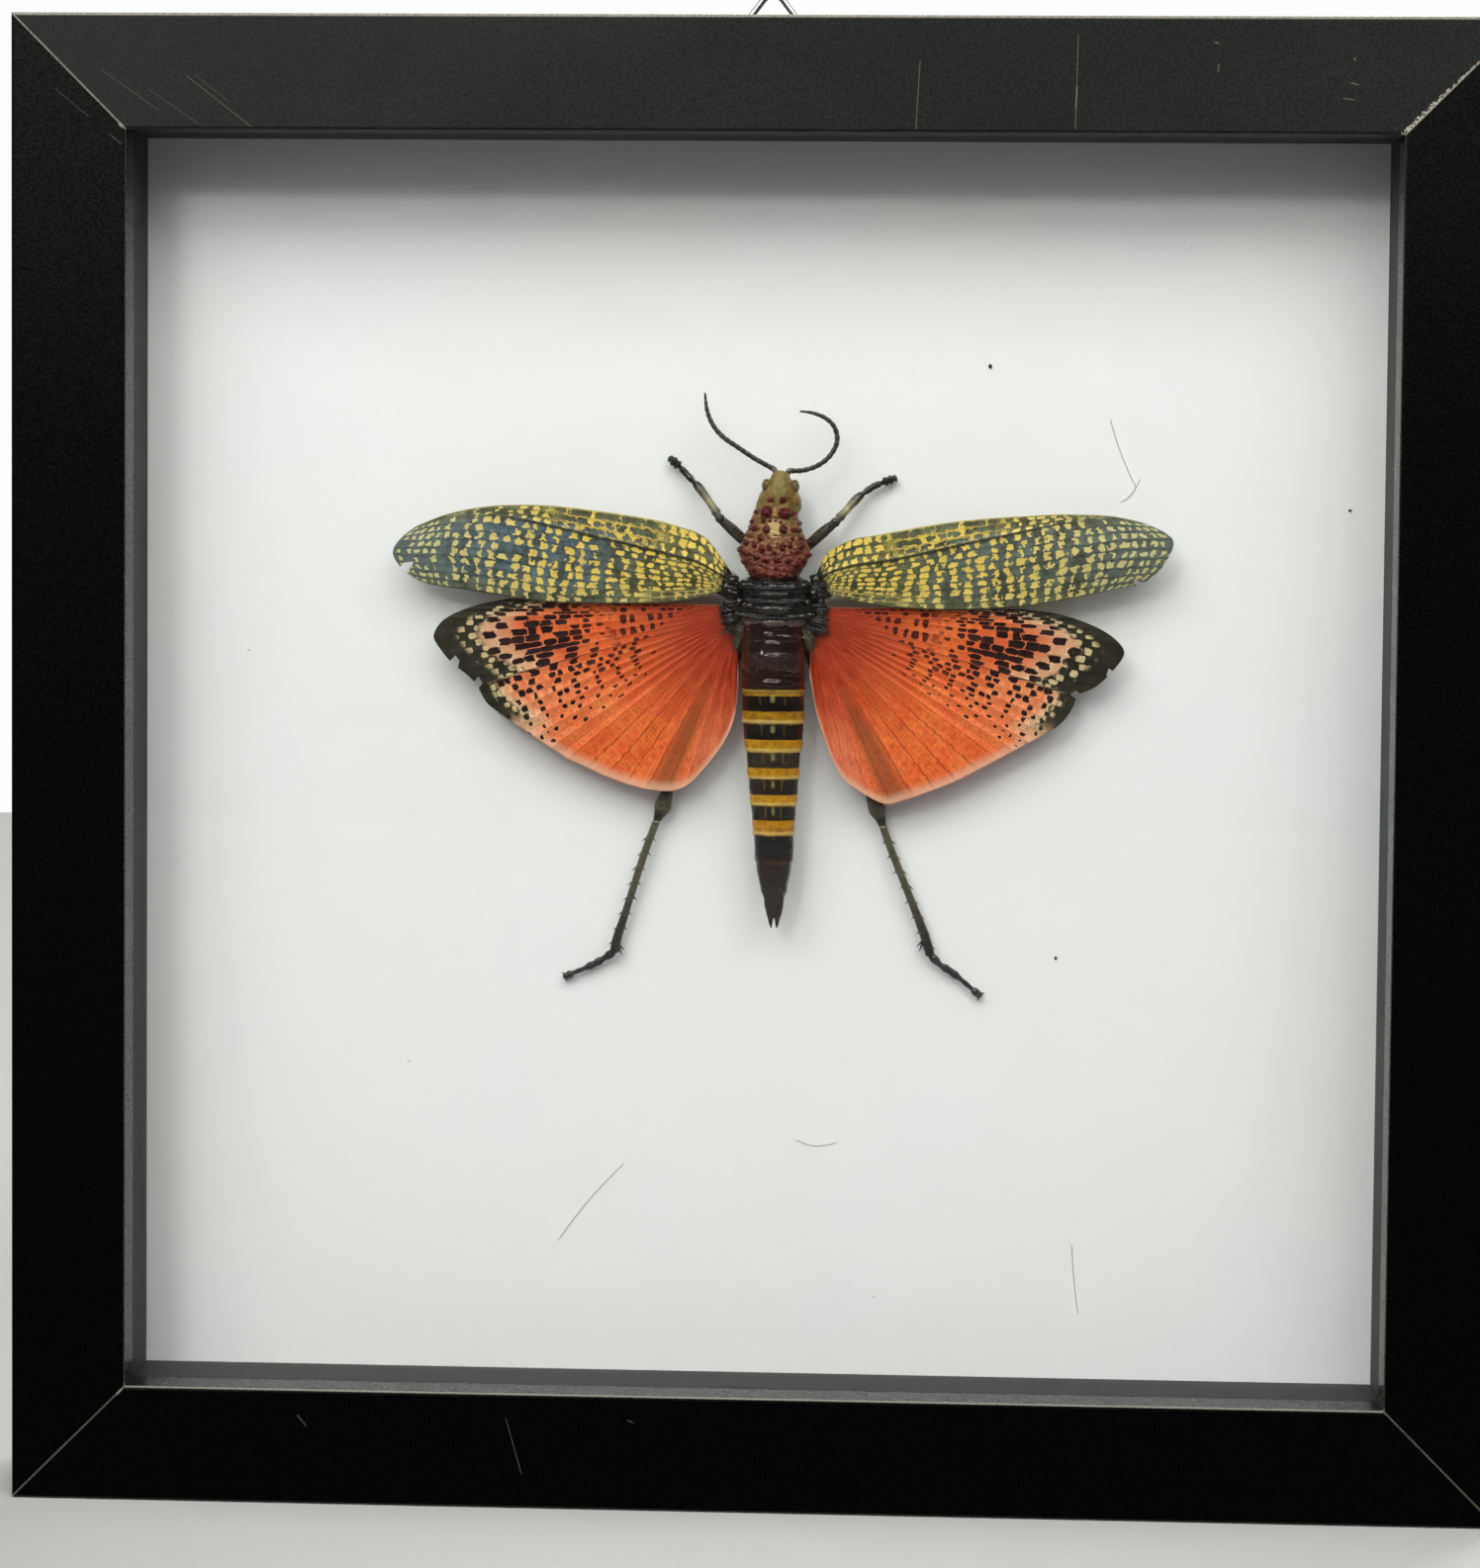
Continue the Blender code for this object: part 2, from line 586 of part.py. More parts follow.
def make_hindwing(side):
    """A fan: every ray folds the other way from the one before it."""
    first, last = [Vector(root) for root in HINDWING_ROOTS[side]]
    rows = []
    for i, end in enumerate(smooth_line(HINDWING_MARGINS[side], HINDWING_RAYS)):
        root = first.lerp(last, i / (HINDWING_RAYS - 1))
        row = []
        for step in range(HINDWING_STEPS + 1):
            share = step / HINDWING_STEPS
            place = root.lerp(end, share)
            fold = HINDWING_PLEAT * share * (1 if i % 2 else -1)
            row.append(spot(place.x, place.y, HINDWING_HEIGHT + fold))
        rows.append(row)
    add_wing("hindwing_" + side, rows, "red wing")


# Legs and antennae, as routes of (x, z, height, radius)
FORELEGS = {
    "left": [(-3.4, 38.4, 2.8, 0.75), (-4.9, 39.9, 3.6, 0.95), (-6.9, 41.7, 4.2, 0.7), (-7.6, 42.8, 4.0, 0.6),
             (-9.0, 44.8, 3.4, 0.6), (-10.6, 46.9, 2.7, 0.7), (-11.4, 47.7, 2.4, 0.5), (-13.0, 49.4, 1.8, 0.6),
             (-14.0, 50.4, 1.5, 0.4), (-14.6, 51.0, 1.4, 0.85), (-15.5, 51.7, 1.2, 0.6)],
    "right": [(8.9, 37.9, 2.8, 0.75), (10.6, 39.5, 3.6, 0.95), (12.7, 41.2, 4.2, 0.7), (13.6, 42.2, 4.0, 0.6),
              (14.9, 43.7, 3.4, 0.6), (16.3, 45.2, 2.7, 0.7), (17.3, 46.1, 2.4, 0.5), (19.2, 47.4, 1.8, 0.6),
              (20.6, 48.0, 1.5, 0.4), (21.6, 48.4, 1.4, 0.8), (22.6, 48.7, 1.2, 0.6)],
}
MIDLEGS = {
    "left": [(-2.4, 27.2, 1.6, 0.8), (-7, 29.6, 2.0, 0.95), (-13.5, 33.0, 2.4, 0.6), (-14.6, 33.6, 2.3, 0.7),
             (-23, 35.5, 1.6, 0.5), (-24, 35.8, 1.4, 0.45), (-28.6, 36.8, 0.9, 0.4)],
    "right": [(7.4, 27.2, 1.6, 0.8), (12, 29.4, 2.0, 0.95), (18.5, 32.6, 2.4, 0.6), (19.6, 33.2, 2.3, 0.7),
              (28, 35.0, 1.6, 0.5), (29, 35.3, 1.4, 0.45), (33.6, 36.2, 0.9, 0.4)],
}
HINDLEGS = {
    "left": [(-3.0, 21.0, 2.0, 1.0), (-5.0, 17.6, 2.2, 1.7), (-7.4, 12.8, 2.2, 1.6), (-11.4, 4.4, 2.3, 1.05),
             (-14.4, -2.2, 2.4, 0.85), (-15.7, -5.4, 2.4, 1.1), (-16.4, -7.8, 2.3, 1.55), (-17.0, -9.2, 2.2, 1.0),
             (-17.5, -10.4, 2.2, 0.6), (-19.7, -16.5, 2.1, 0.6), (-22.4, -25.2, 1.9, 0.6), (-24.1, -30.6, 1.7, 0.75),
             (-24.6, -33.0, 1.5, 0.75), (-26.4, -34.2, 1.3, 0.5), (-28.0, -35.2, 1.2, 0.7), (-29.7, -36.0, 1.1, 0.45),
             (-31.6, -36.8, 1.0, 0.4), (-32.9, -37.4, 1.0, 0.7)],
    "right": [(8.0, 21.0, 2.0, 1.0), (9.8, 17.2, 2.2, 1.7), (11.8, 12.4, 2.2, 1.6), (15.4, 4.0, 2.3, 1.05),
              (18.2, -2.6, 2.4, 0.85), (19.4, -5.4, 2.4, 1.1), (20.3, -7.8, 2.3, 1.5), (20.9, -9.3, 2.2, 1.0),
              (21.4, -10.8, 2.2, 0.6), (23.0, -15.2, 2.1, 0.6), (26.0, -22.6, 1.9, 0.6), (28.6, -29.2, 1.7, 0.75),
              (29.7, -32.8, 1.5, 0.75), (31.4, -34.5, 1.3, 0.5), (33.2, -35.6, 1.2, 0.7), (34.8, -36.8, 1.1, 0.45),
              (36.8, -38.5, 1.0, 0.4), (38.1, -39.6, 1.0, 0.7)],
}
ANTENNAE = {
    "left": [(2.2, 50.2, 6.0, 0.4), (-0.8, 51.8, 6.0, 0.38), (-3.6, 53.6, 5.8, 0.38), (-6.5, 55.6, 5.6, 0.38),
             (-8.2, 57.6, 5.4, 0.36), (-9.2, 60, 5.2, 0.32), (-9.6, 63, 5.0, 0.14)],
    "right": [(4.9, 49.9, 6.0, 0.4), (7.3, 50, 6.0, 0.38), (9.8, 50.9, 5.8, 0.38), (11.8, 52.6, 5.6, 0.38),
              (12.9, 54.9, 5.4, 0.38), (12.5, 57.2, 5.3, 0.36), (11, 58.8, 5.2, 0.34), (8.8, 59.7, 5.1, 0.28),
              (6.5, 60, 5.0, 0.14)],
}
SPINE_FROM, SPINE_TO = -13, -31
SPINE_COUNT = 8
SPINE_LENGTH = 1.25


def add_limb(name, route, resolution):
    points = [(spot(x, z, height), radius) for x, z, height, radius in route]
    shape = wire_mesh(name, points, MM, False, resolution)
    return add_piece(name, shape, "black shell", smooth=True)


def add_spines(leg, route):
    """Two rows of spines down the shin of a hind leg."""
    spines = bmesh.new()
    downwards = [(z, Vector((x, height))) for x, z, height, _ in route]
    for i in range(SPINE_COUNT):
        z = SPINE_FROM + (SPINE_TO - SPINE_FROM) * i / (SPINE_COUNT - 1)
        place = between(downwards, z)
        for side in (-1, 1):
            foot = spot(place.x + side * 0.25, z, place.y)
            tip = spot(place.x + side * (0.5 + SPINE_LENGTH * 0.8), z - SPINE_LENGTH * 0.7, place.y)
            add_rod(spines, foot, tip, 0.28 * MM, 0.05 * MM, 4)
    combine(leg, add_cutter(leg.name + "_spines", spines), "UNION")


def make_limbs():
    for side in ("left", "right"):
        add_limb("foreleg_" + side, FORELEGS[side], 2)
        add_limb("midleg_" + side, MIDLEGS[side], 1)
        hindleg = add_limb("hindleg_" + side, HINDLEGS[side], 2)
        add_spines(hindleg, HINDLEGS[side])
        add_limb("antenna_" + side, ANTENNAE[side], 1)


def make_glue_pad():
    """The dab under the thorax that the whole specimen is held by."""
    pad = bmesh.new()
    top = BODY_HEIGHT - 3.9 - PIECE_GAP
    add_rod(pad, spot(BODY_MIDDLE, 28, 0.15), spot(BODY_MIDDLE, 28, top), 2.6 * MM, 1.9 * MM, 16)
    add_piece("glue_pad", pad, "clear glue", smooth=True)


make_frame()
make_stack()
make_ring()
make_hanger()
make_head()
make_pronotum()
make_thorax()
make_abdomen()
for wing_side in ("left", "right"):
    make_forewing(wing_side)
    make_hindwing(wing_side)
make_limbs()
make_glue_pad()
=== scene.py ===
# %% [markdown]
# # A framed locust specimen
#
# A locust lies spread on a white board, deep inside a black box frame with glass over it. The
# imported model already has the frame, its fastenings and plain solids for the insect. This
# lesson loads that model, gives the frame its finishes, and puts a detailed insect in the
# place of the plain one. Everything is measured in the model's own frame, so nothing has to
# be fitted: a piece is simply made where the model says that it is.

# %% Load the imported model
import bpy
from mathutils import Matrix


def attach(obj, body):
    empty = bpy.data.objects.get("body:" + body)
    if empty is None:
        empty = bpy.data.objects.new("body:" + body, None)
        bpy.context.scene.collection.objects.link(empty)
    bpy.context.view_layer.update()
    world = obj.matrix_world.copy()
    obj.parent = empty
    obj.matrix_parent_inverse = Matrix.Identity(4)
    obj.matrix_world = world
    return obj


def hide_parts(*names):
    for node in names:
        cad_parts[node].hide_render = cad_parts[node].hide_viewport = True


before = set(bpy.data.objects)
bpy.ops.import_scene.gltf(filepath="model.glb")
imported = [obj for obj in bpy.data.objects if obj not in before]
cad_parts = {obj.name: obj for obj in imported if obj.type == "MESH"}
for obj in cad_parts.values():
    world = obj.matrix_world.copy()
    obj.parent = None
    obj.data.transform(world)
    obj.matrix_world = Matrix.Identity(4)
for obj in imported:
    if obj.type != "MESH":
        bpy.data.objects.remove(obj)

for startup in ("Cube", "Light", "Camera"):
    if startup in bpy.data.objects:
        bpy.data.objects.remove(bpy.data.objects[startup])
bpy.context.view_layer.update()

# %% [markdown]
# ## Tools and sizes
#
# The shapes are worked out as arrays of points, in millimetres, and only turned into metres
# when a mesh is made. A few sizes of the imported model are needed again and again, so they get
# names here. Everything random comes from one seeded source, so each run gives the same insect.

# %% Tools and sizes
import math

import bmesh
import numpy as np
from mathutils import Matrix, Vector

MM = 0.001
FRONT_Y = -17.4 * MM
BOARD_Y = 2.6 * MM
GLASS_FRONT_Y = FRONT_Y + 6.6 * MM
MIDDLE_UP = 125.0  # the board's middle above the floor, and half of the frame's width, in mm
MIDDLE_Z = MIDDLE_UP * MM
OPENING_HALF = 105.7  # from the middle to the rails' inner edge, in mm
chance = np.random.default_rng(7)
print("the board's face is", round((BOARD_Y - FRONT_Y) / MM, 1), "mm behind the frame's front")

# %% [markdown]
# ## The camera
#
# A photograph of a box frame shows its inner walls, and how much of each wall shows tells
# where the camera stood: a little to the right, above the middle and about 0.6 m away. It
# looked slightly down, and the sensor was shifted down so that the frame's sides stay
# upright. A matrix of the camera's own right, up and back directions places it exactly.

# %% Place the camera
camera_data = bpy.data.cameras.new("camera")
camera_data.lens = 81.77
camera_data.shift_y = -0.0899
camera = bpy.data.objects.new("camera", camera_data)
bpy.context.scene.collection.objects.link(camera)
to_right = Vector((0.99897, 0.04449, 0.00887))
to_front = Vector((-0.04405, 0.99801, -0.04512))
to_top = Vector((-0.01086, 0.04469, 0.99894))
camera.matrix_world = Matrix.Translation((0.02343, -0.6080, 0.1729)) @ Matrix(
    (to_right, to_top, -to_front)).transposed().to_4x4()
bpy.context.scene.camera = camera
bpy.context.scene.view_settings.view_transform = "Standard"
print("camera", round(camera.location.length, 3), "m from the origin")

# %% [markdown]
# ## A short way to write node trees
#
# A finish is a node tree, and a tree written node by node runs to pages. This helper adds one
# node for each call and hands back its output, so that a finish reads like a recipe: a noise,
# then a ramp, then a mix. Values that come from other nodes are linked, and plain numbers are
# set on the socket itself.


# %% Node recipes
class Recipe:
    """Adds nodes to one tree; each call gives back the new node's output."""

    def __init__(self, tree):
        self.tree = tree

    def put(self, socket, value):
        if isinstance(value, bpy.types.NodeSocket):
            self.tree.links.new(value, socket)
        else:
            socket.default_value = value

    def add(self, kind, sockets=(), output=0, **settings):
        node = self.tree.nodes.new("ShaderNode" + kind)
        for name, value in settings.items():
            setattr(node, name, value)
        for socket, value in dict(sockets).items():
            self.put(node.inputs[socket], value)
        return node.outputs[output]

    def math(self, operation, first, second=0.0, third=0.0, clamp=False):
        sockets = {0: first, 1: second, 2: third}
        return self.add("Math", sockets, operation=operation, use_clamp=clamp)

    def times(self, first, second):
        return self.math("MULTIPLY", first, second)

    def plus(self, first, second):
        return self.math("ADD", first, second)

    def minus(self, first, second, clamp=False):
        return self.math("SUBTRACT", first, second, clamp=clamp)

    def most(self, *values):
        """The largest of several values."""
        largest = values[0]
        for value in values[1:]:
            largest = self.math("MAXIMUM", largest, value)
        return largest

    def size_of(self, value):
        """The value without its sign."""
        return self.math("ABSOLUTE", value)

    def fade(self, value, start, end, low=0.0, high=1.0):
        """Goes smoothly from low to high as value goes from start to end."""
        sockets = {"Value": value, "From Min": start, "From Max": end, "To Min": low, "To Max": high}
        return self.add("MapRange", sockets, interpolation_type="SMOOTHSTEP")

    def mix(self, share, first, second, blend="MIX"):
        """Mixes two colours, given as plain red, green, blue or as sockets."""
        sockets = {0: share, 6: opaque(first), 7: opaque(second)}
        return self.add("Mix", sockets, output=2, data_type="RGBA", blend_type=blend)

    def wash(self, colour, mask, strength, over):
        """Lays one colour over another where the mask is, and no stronger than given."""
        return self.mix(self.times(mask, strength), colour, over)

    def ramp(self, value, stops, interpolation="LINEAR"):
        """A colour for each value; stops are (place from 0 to 1, colour)."""
        output = self.add("ValToRGB", {"Fac": value})
        ramp = output.node.color_ramp
        ramp.interpolation = interpolation
        while len(ramp.elements) < len(stops):
            ramp.elements.new(0.5)
        for element, (place, colour) in zip(ramp.elements, stops):
            element.position = place
            element.color = opaque(colour)
        return output

    def noise(self, place, scale, detail=2.0, roughness=0.5, output=0):
        sockets = {"Vector": place, "Scale": scale, "Detail": detail, "Roughness": roughness}
        return self.add("TexNoise", sockets, output=output)

    def value_of(self, name):
        """A number that the mesh code left on each point."""
        return self.add("Attribute", output=2, attribute_name=name)

    def in_mm(self):
        """The place on the object in millimetres, which doesn't change when a body moves."""
        place = self.add("TexCoord", output=3)
        return self.add("VectorMath", {0: place, 3: 1000.0}, operation="SCALE")

    def split(self, vector):
        node = self.add("SeparateXYZ", {0: vector}).node
        return node.outputs[0], node.outputs[1], node.outputs[2]

    def join(self, x, y, z=0.0):
        return self.add("CombineXYZ", {0: x, 1: y, 2: z})

    def bump(self, height, depth_mm):
        return self.add("Bump", {"Height": height, "Distance": depth_mm * MM, "Strength": 1.0})

    def group(self, name, **sockets):
        """Places a shared node group and gives back its node."""
        node = self.tree.nodes.new("ShaderNodeGroup")
        node.node_tree = bpy.data.node_groups[name]
        for socket, value in sockets.items():
            self.put(node.inputs[socket.replace("_", " ")], value)
        return node

    def effect(self, name, place, **sockets):
        """The one output of a shared effect at a place."""
        return self.group(name, Place=place, **sockets).outputs[0]

    def shell(self, colour, roughness, normal=None, **plain):
        """The Principled shader; plain sockets hold one value all over."""
        node = self.add("BsdfPrincipled").node
        self.put(node.inputs["Base Color"], opaque(colour))
        self.put(node.inputs["Roughness"], roughness)
        if normal is not None:
            self.put(node.inputs["Normal"], normal)
        for socket, value in plain.items():
            node.inputs[socket.replace("_", " ")].default_value = value
        return node.outputs[0]

    def finish(self, surface):
        output = self.tree.nodes.new("ShaderNodeOutputMaterial")
        self.put(output.inputs["Surface"], surface)


def opaque(colour):
    """A plain colour with its alpha; a socket passes through."""
    return (*colour, 1.0) if isinstance(colour, tuple) else colour


def tint(red, green, blue):
    """A colour as read from a photograph, from 0 to 255, in the shader's linear numbers."""
    return tuple(((value / 255 + 0.055) / 1.055) ** 2.4 if value > 10 else value / 3295
                 for value in (red, green, blue))


def new_finish(name):
    """An empty material and the recipe that fills it."""
    material = bpy.data.materials.new(name)
    material.use_nodes = True
    material.node_tree.nodes.clear()
    return material, Recipe(material.node_tree)


def new_group(name, inputs, outputs):
    """A shared node group; each input is (name, starting value), and a list makes a vector."""
    tree = bpy.data.node_groups.new(name, "ShaderNodeTree")
    for label, value in inputs:
        kind = "NodeSocketVector" if isinstance(value, list) else "NodeSocketFloat"
        socket = tree.interface.new_socket(label, in_out="INPUT", socket_type=kind)
        socket.default_value = value
    for label in outputs:
        tree.interface.new_socket(label, in_out="OUTPUT", socket_type="NodeSocketFloat")
    recipe = Recipe(tree)
    taken = tree.nodes.new("NodeGroupInput")
    given = tree.nodes.new("NodeGroupOutput")
    return recipe, taken.outputs, given.inputs


print("recipes ready")

# %% [markdown]
# ## Light
#
# The top rail throws two shadows on the board. One has a clear edge about 9 mm down, so small
# lamps stand 27 degrees up. The other brightens slowly over 40 mm more, so a wide panel spans
# from 39 to 65 degrees. The left lamp is the stronger one. Another panel lights the back of the
# frame. The world is bright to the camera and dim to everything else.


# %% Hang the lamps
def hang_panel(name, azimuth, elevation, distance, size, watts):
    """A soft rectangular lamp that faces the object; azimuth 0 is straight in front."""
    turn, rise = math.radians(azimuth), math.radians(elevation)
    away = Vector((math.sin(turn) * math.cos(rise), -math.cos(turn) * math.cos(rise), math.sin(rise)))
    data = bpy.data.lights.new(name, "AREA")
    data.shape = "RECTANGLE"
    data.size, data.size_y = size
    data.energy = watts
    data.color = (1.0, 0.995, 0.965)
    lamp = bpy.data.objects.new(name, data)
    lamp.location = Vector((0, 0, MIDDLE_Z)) + away * distance
    lamp.rotation_euler = (-away).to_track_quat("-Z", "Y").to_euler()
    bpy.context.scene.collection.objects.link(lamp)


LAMPS = [  # name, azimuth, elevation, distance and size in metres, watts
    ("window_panel", 0, 52, 1.0, (1.85, 0.46), 10.6), ("left_lamp", -20, 27.5, 1.6, (0.24, 0.14), 3.5),
    ("right_lamp", 20, 27.5, 1.6, (0.24, 0.14), 1.05), ("back_panel_light", 160, 40, 2.2, (1.6, 1.2), 34)]
for lamp in LAMPS:
    hang_panel(*lamp)

world = bpy.data.worlds.new("pale_room")
world.use_nodes = True
room = Recipe(world.node_tree)
background = world.node_tree.nodes["Background"]
background.inputs["Color"].default_value = (0.98, 0.985, 0.99, 1)
seen = room.add("LightPath").node.outputs["Is Camera Ray"]
room.put(background.inputs["Strength"], room.math("MULTIPLY_ADD", seen, 0.98, 0.022))
bpy.context.scene.world = world
print(len(LAMPS), "lamps and a dim world")

# %% [markdown]
# ## Effects that several finishes share
#
# Fine grain shows on the foil, the card and the paper, each at its own scale. Specks of dust
# lie on all of them too. Mottling, as on any insect's shell, is a slow and a quick noise
# together. Each effect is a node group, built once, with its scale and strength left open.

# %% Grain, specks and mottling
recipe, taken, given = new_group("fine_grain", [("Place", [0.0, 0.0, 0.0]), ("Scale", 4.0)], ["Grain"])
coarse = recipe.noise(taken["Place"], taken["Scale"], 3.0, 0.6)
double = recipe.times(taken["Scale"], 2.7)
fine = recipe.noise(taken["Place"], double, 2.0, 0.6)
recipe.put(given["Grain"], recipe.math("MULTIPLY_ADD", coarse, 0.6, recipe.times(fine, 0.4)))

recipe, taken, given = new_group(
    "dust_specks", [("Place", [0.0, 0.0, 0.0]), ("Spacing", 6.0), ("Size", 0.1), ("Share", 0.3)], ["Specks"])
spread = recipe.math("DIVIDE", 1.0, taken["Spacing"])
cells = recipe.add("TexVoronoi", {"Vector": taken["Place"], "Scale": spread}).node
near = recipe.times(cells.outputs["Distance"], taken["Spacing"])
small = recipe.minus(1.0, recipe.math("DIVIDE", near, taken["Size"]), clamp=True)
picked = recipe.add("SeparateColor", {0: cells.outputs["Color"]})
kept = recipe.math("LESS_THAN", picked, taken["Share"])
recipe.put(given["Specks"], recipe.times(small, kept))

recipe, taken, given = new_group("shell_mottle", [("Place", [0.0, 0.0, 0.0]), ("Scale", 1.0)], ["Mottle"])
slow = recipe.noise(taken["Place"], taken["Scale"])
quick_scale = recipe.times(taken["Scale"], 4.3)
quick = recipe.noise(taken["Place"], quick_scale, 2.0, 0.6)
both = recipe.plus(recipe.times(slow, 0.6), recipe.times(quick, 0.4))
recipe.put(given["Mottle"], recipe.fade(both, 0.34, 0.66))
print("shared effects:", [group.name for group in bpy.data.node_groups])

# %% [markdown]
# ## Black foil on the rails
#
# The rails are fibreboard wrapped in black printed foil. Its fine grain shows best on the top
# rail, which is painted lighter and mottled: a painted sheen for the light from above. The foil
# is worn pale along the mitres, most of all at the upper right corner, and along the inner edge
# of the bottom rail. A broken painted highlight runs along the outer edge of the top rail.
# A mitre lies where the distance from the middle is the same sideways and upwards, so one
# subtraction finds all four. The scratches are listed one by one, from point to point.


# %% Scratches
def dress(node_name, finish):
    """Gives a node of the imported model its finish, in place of the plain one."""
    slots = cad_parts[node_name].data.materials
    slots.clear()
    slots.append(finish)


RAIL_SIDES = ("top", "right", "bottom", "left")
SCRATCHES = [  # from, to, half width in mm, strength
    ((26.2, 117.8), (25.6, 106.0), 0.09, 0.3), ((52.1, 122.0), (51.8, 106.2), 0.09, 0.3),
    ((52.0, 113.6), (51.8, 109.4), 0.13, 0.5), ((-95.7, 114.7), (-84.6, 106.1), 0.1, 0.2),
    ((-94.4, 114.9), (-88.0, 110.0), 0.08, 0.12), ((-109.8, 115.5), (-100.0, 108.7), 0.09, 0.14),
    ((-102.0, 112.4), (-92.4, 105.9), 0.08, 0.12), ((-117.8, 112.5), (-111.7, 107.6), 0.09, 0.14),
    ((-108.6, 105.0), (-106.2, 103.0), 0.11, 0.2), ((74.2, 120.6), (75.3, 120.5), 0.16, 0.45),
    ((75.2, 117.4), (75.0, 115.6), 0.13, 0.3), ((97.3, 118.4), (97.2, 117.6), 0.16, 0.55),
    ((96.4, 114.2), (98.2, 113.7), 0.13, 0.3), ((95.2, 111.6), (97.6, 111.3), 0.13, 0.22),
    ((-41.0, -109.6), (-38.2, -119.4), 0.09, 0.25), ((-76.4, -109.8), (-74.6, -112.0), 0.22, 0.14),
    ((-20.6, -109.7), (-19.2, -110.2), 0.14, 0.22), ((-107.0, 106.7), (-105.9, 105.9), 0.34, 0.75),
    ((-107.2, -107.3), (-105.9, -105.9), 0.26, 0.7)]


def scratch(recipe, x, up, start, end, wide, strength):
    """A fine line on the rails' front from one point to another, both in mm from the middle."""
    length = math.dist(start, end)
    run_x, run_up = (end[0] - start[0]) / length, (end[1] - start[1]) / length
    from_x, from_up = recipe.minus(x, start[0]), recipe.minus(up, start[1])
    along = recipe.math("MULTIPLY_ADD", from_x, run_x, recipe.times(from_up, run_up))
    off = recipe.math("MULTIPLY_ADD", from_x, -run_up, recipe.times(from_up, run_x))
    line = recipe.fade(recipe.size_of(off), wide, wide * 0.3, 0.0, strength)
    ends = recipe.times(recipe.fade(along, 0.0, 0.5), recipe.fade(along, length, length - 0.5))
    return recipe.times(line, ends)


print(len(SCRATCHES), "scratches listed")

# %% [markdown]
# The foil is put together in layers: its own dark grain, a painted sheen over the top rail, the
# scratches and specks, and last the pale places where it is worn through, with the painted
# highlight along the top edge. Each layer is a mask from 0 to 1, and only the rails' front is
# marked. The worn places and that highlight are worked out first.

# %% Where the foil is worn, and its painted edge highlight
BLACK_FOIL, recipe = new_finish("black_foil")
place = recipe.in_mm()
x, y, z = recipe.split(place)
up = recipe.minus(z, MIDDLE_UP)
sideways, upwards = recipe.size_of(x), recipe.size_of(up)
across_mitre = recipe.minus(sideways, upwards)
flakes = recipe.noise(place, 2.2, 4.0, 0.7)
right_top = recipe.fade(recipe.plus(x, up), 60.0, 200.0)
left_top = recipe.fade(recipe.minus(up, x), 60.0, 200.0)
seam_strength = recipe.most(recipe.fade(right_top, 0.0, 1.0, 0.34, 0.8), recipe.times(left_top, 0.7))
seam = recipe.fade(recipe.size_of(across_mitre), 0.26, 0.08)
seam = recipe.times(seam, recipe.times(seam_strength, recipe.fade(flakes, 0.3, 0.55, 0.45, 1.0)))
flaked_width = recipe.times(recipe.fade(flakes, 0.38, 0.62), recipe.times(right_top, 1.15))
flaked_width = recipe.times(flaked_width, recipe.fade(recipe.plus(x, up), 240.0, 214.0, 0.3, 1.0))
flaked = recipe.times(recipe.fade(recipe.plus(across_mitre, flaked_width), 0.0, 0.1),
                     recipe.fade(across_mitre, 0.15, 0.0))
flaked = recipe.times(flaked, recipe.fade(right_top, 0.5, 1.0, 0.0, 0.85))
on_front = recipe.fade(y, -16.6, -17.1)
top_rail = recipe.fade(recipe.minus(up, sideways), -0.1, 0.1)
# A broken line of painted highlight along the top rail's outer edge, where its rounded edge catches the
# light.
highlight_breaks = recipe.fade(flakes, 0.35, 0.6, 0.3, 0.6)
painted_edge_highlight = recipe.times(recipe.fade(up, MIDDLE_UP - 0.7, MIDDLE_UP - 0.25), highlight_breaks)
lower_edge = recipe.fade(up, 0.25 - MIDDLE_UP, 0.1 - MIDDLE_UP, 0.0, 0.3)
from_opening = recipe.minus(recipe.most(sideways, upwards), OPENING_HALF + 0.05)
inner_edge = recipe.fade(recipe.size_of(from_opening), 0.2, 0.05)
on_bottom = recipe.fade(up, 0.7 - OPENING_HALF, 0.1 - OPENING_HALF, 0.08, 0.4)
inner_edge = recipe.times(inner_edge, on_bottom)
pale = recipe.most(seam, flaked, inner_edge, painted_edge_highlight, lower_edge)
pale = recipe.times(pale, on_front)
print("worn places use", len(recipe.tree.nodes), "nodes")

# %% Scratches, dust, painted sheen and the foil itself
marks = recipe.times(recipe.effect("dust_specks", place, Spacing=7.0, Size=0.17, Share=0.3), 0.25)
for line in SCRATCHES:
    marks = recipe.most(marks, scratch(recipe, x, up, *line))
marks = recipe.times(marks, on_front)
marks = recipe.times(marks, recipe.fade(flakes, 0.3, 0.5, 0.5, 1.0))
grain = recipe.effect("fine_grain", place, Scale=2.4)
speckle = recipe.fade(grain, 0.4, 0.6)
dark = recipe.mix(speckle, (0.0004, 0.0004, 0.0005), (0.0014, 0.0014, 0.0014))
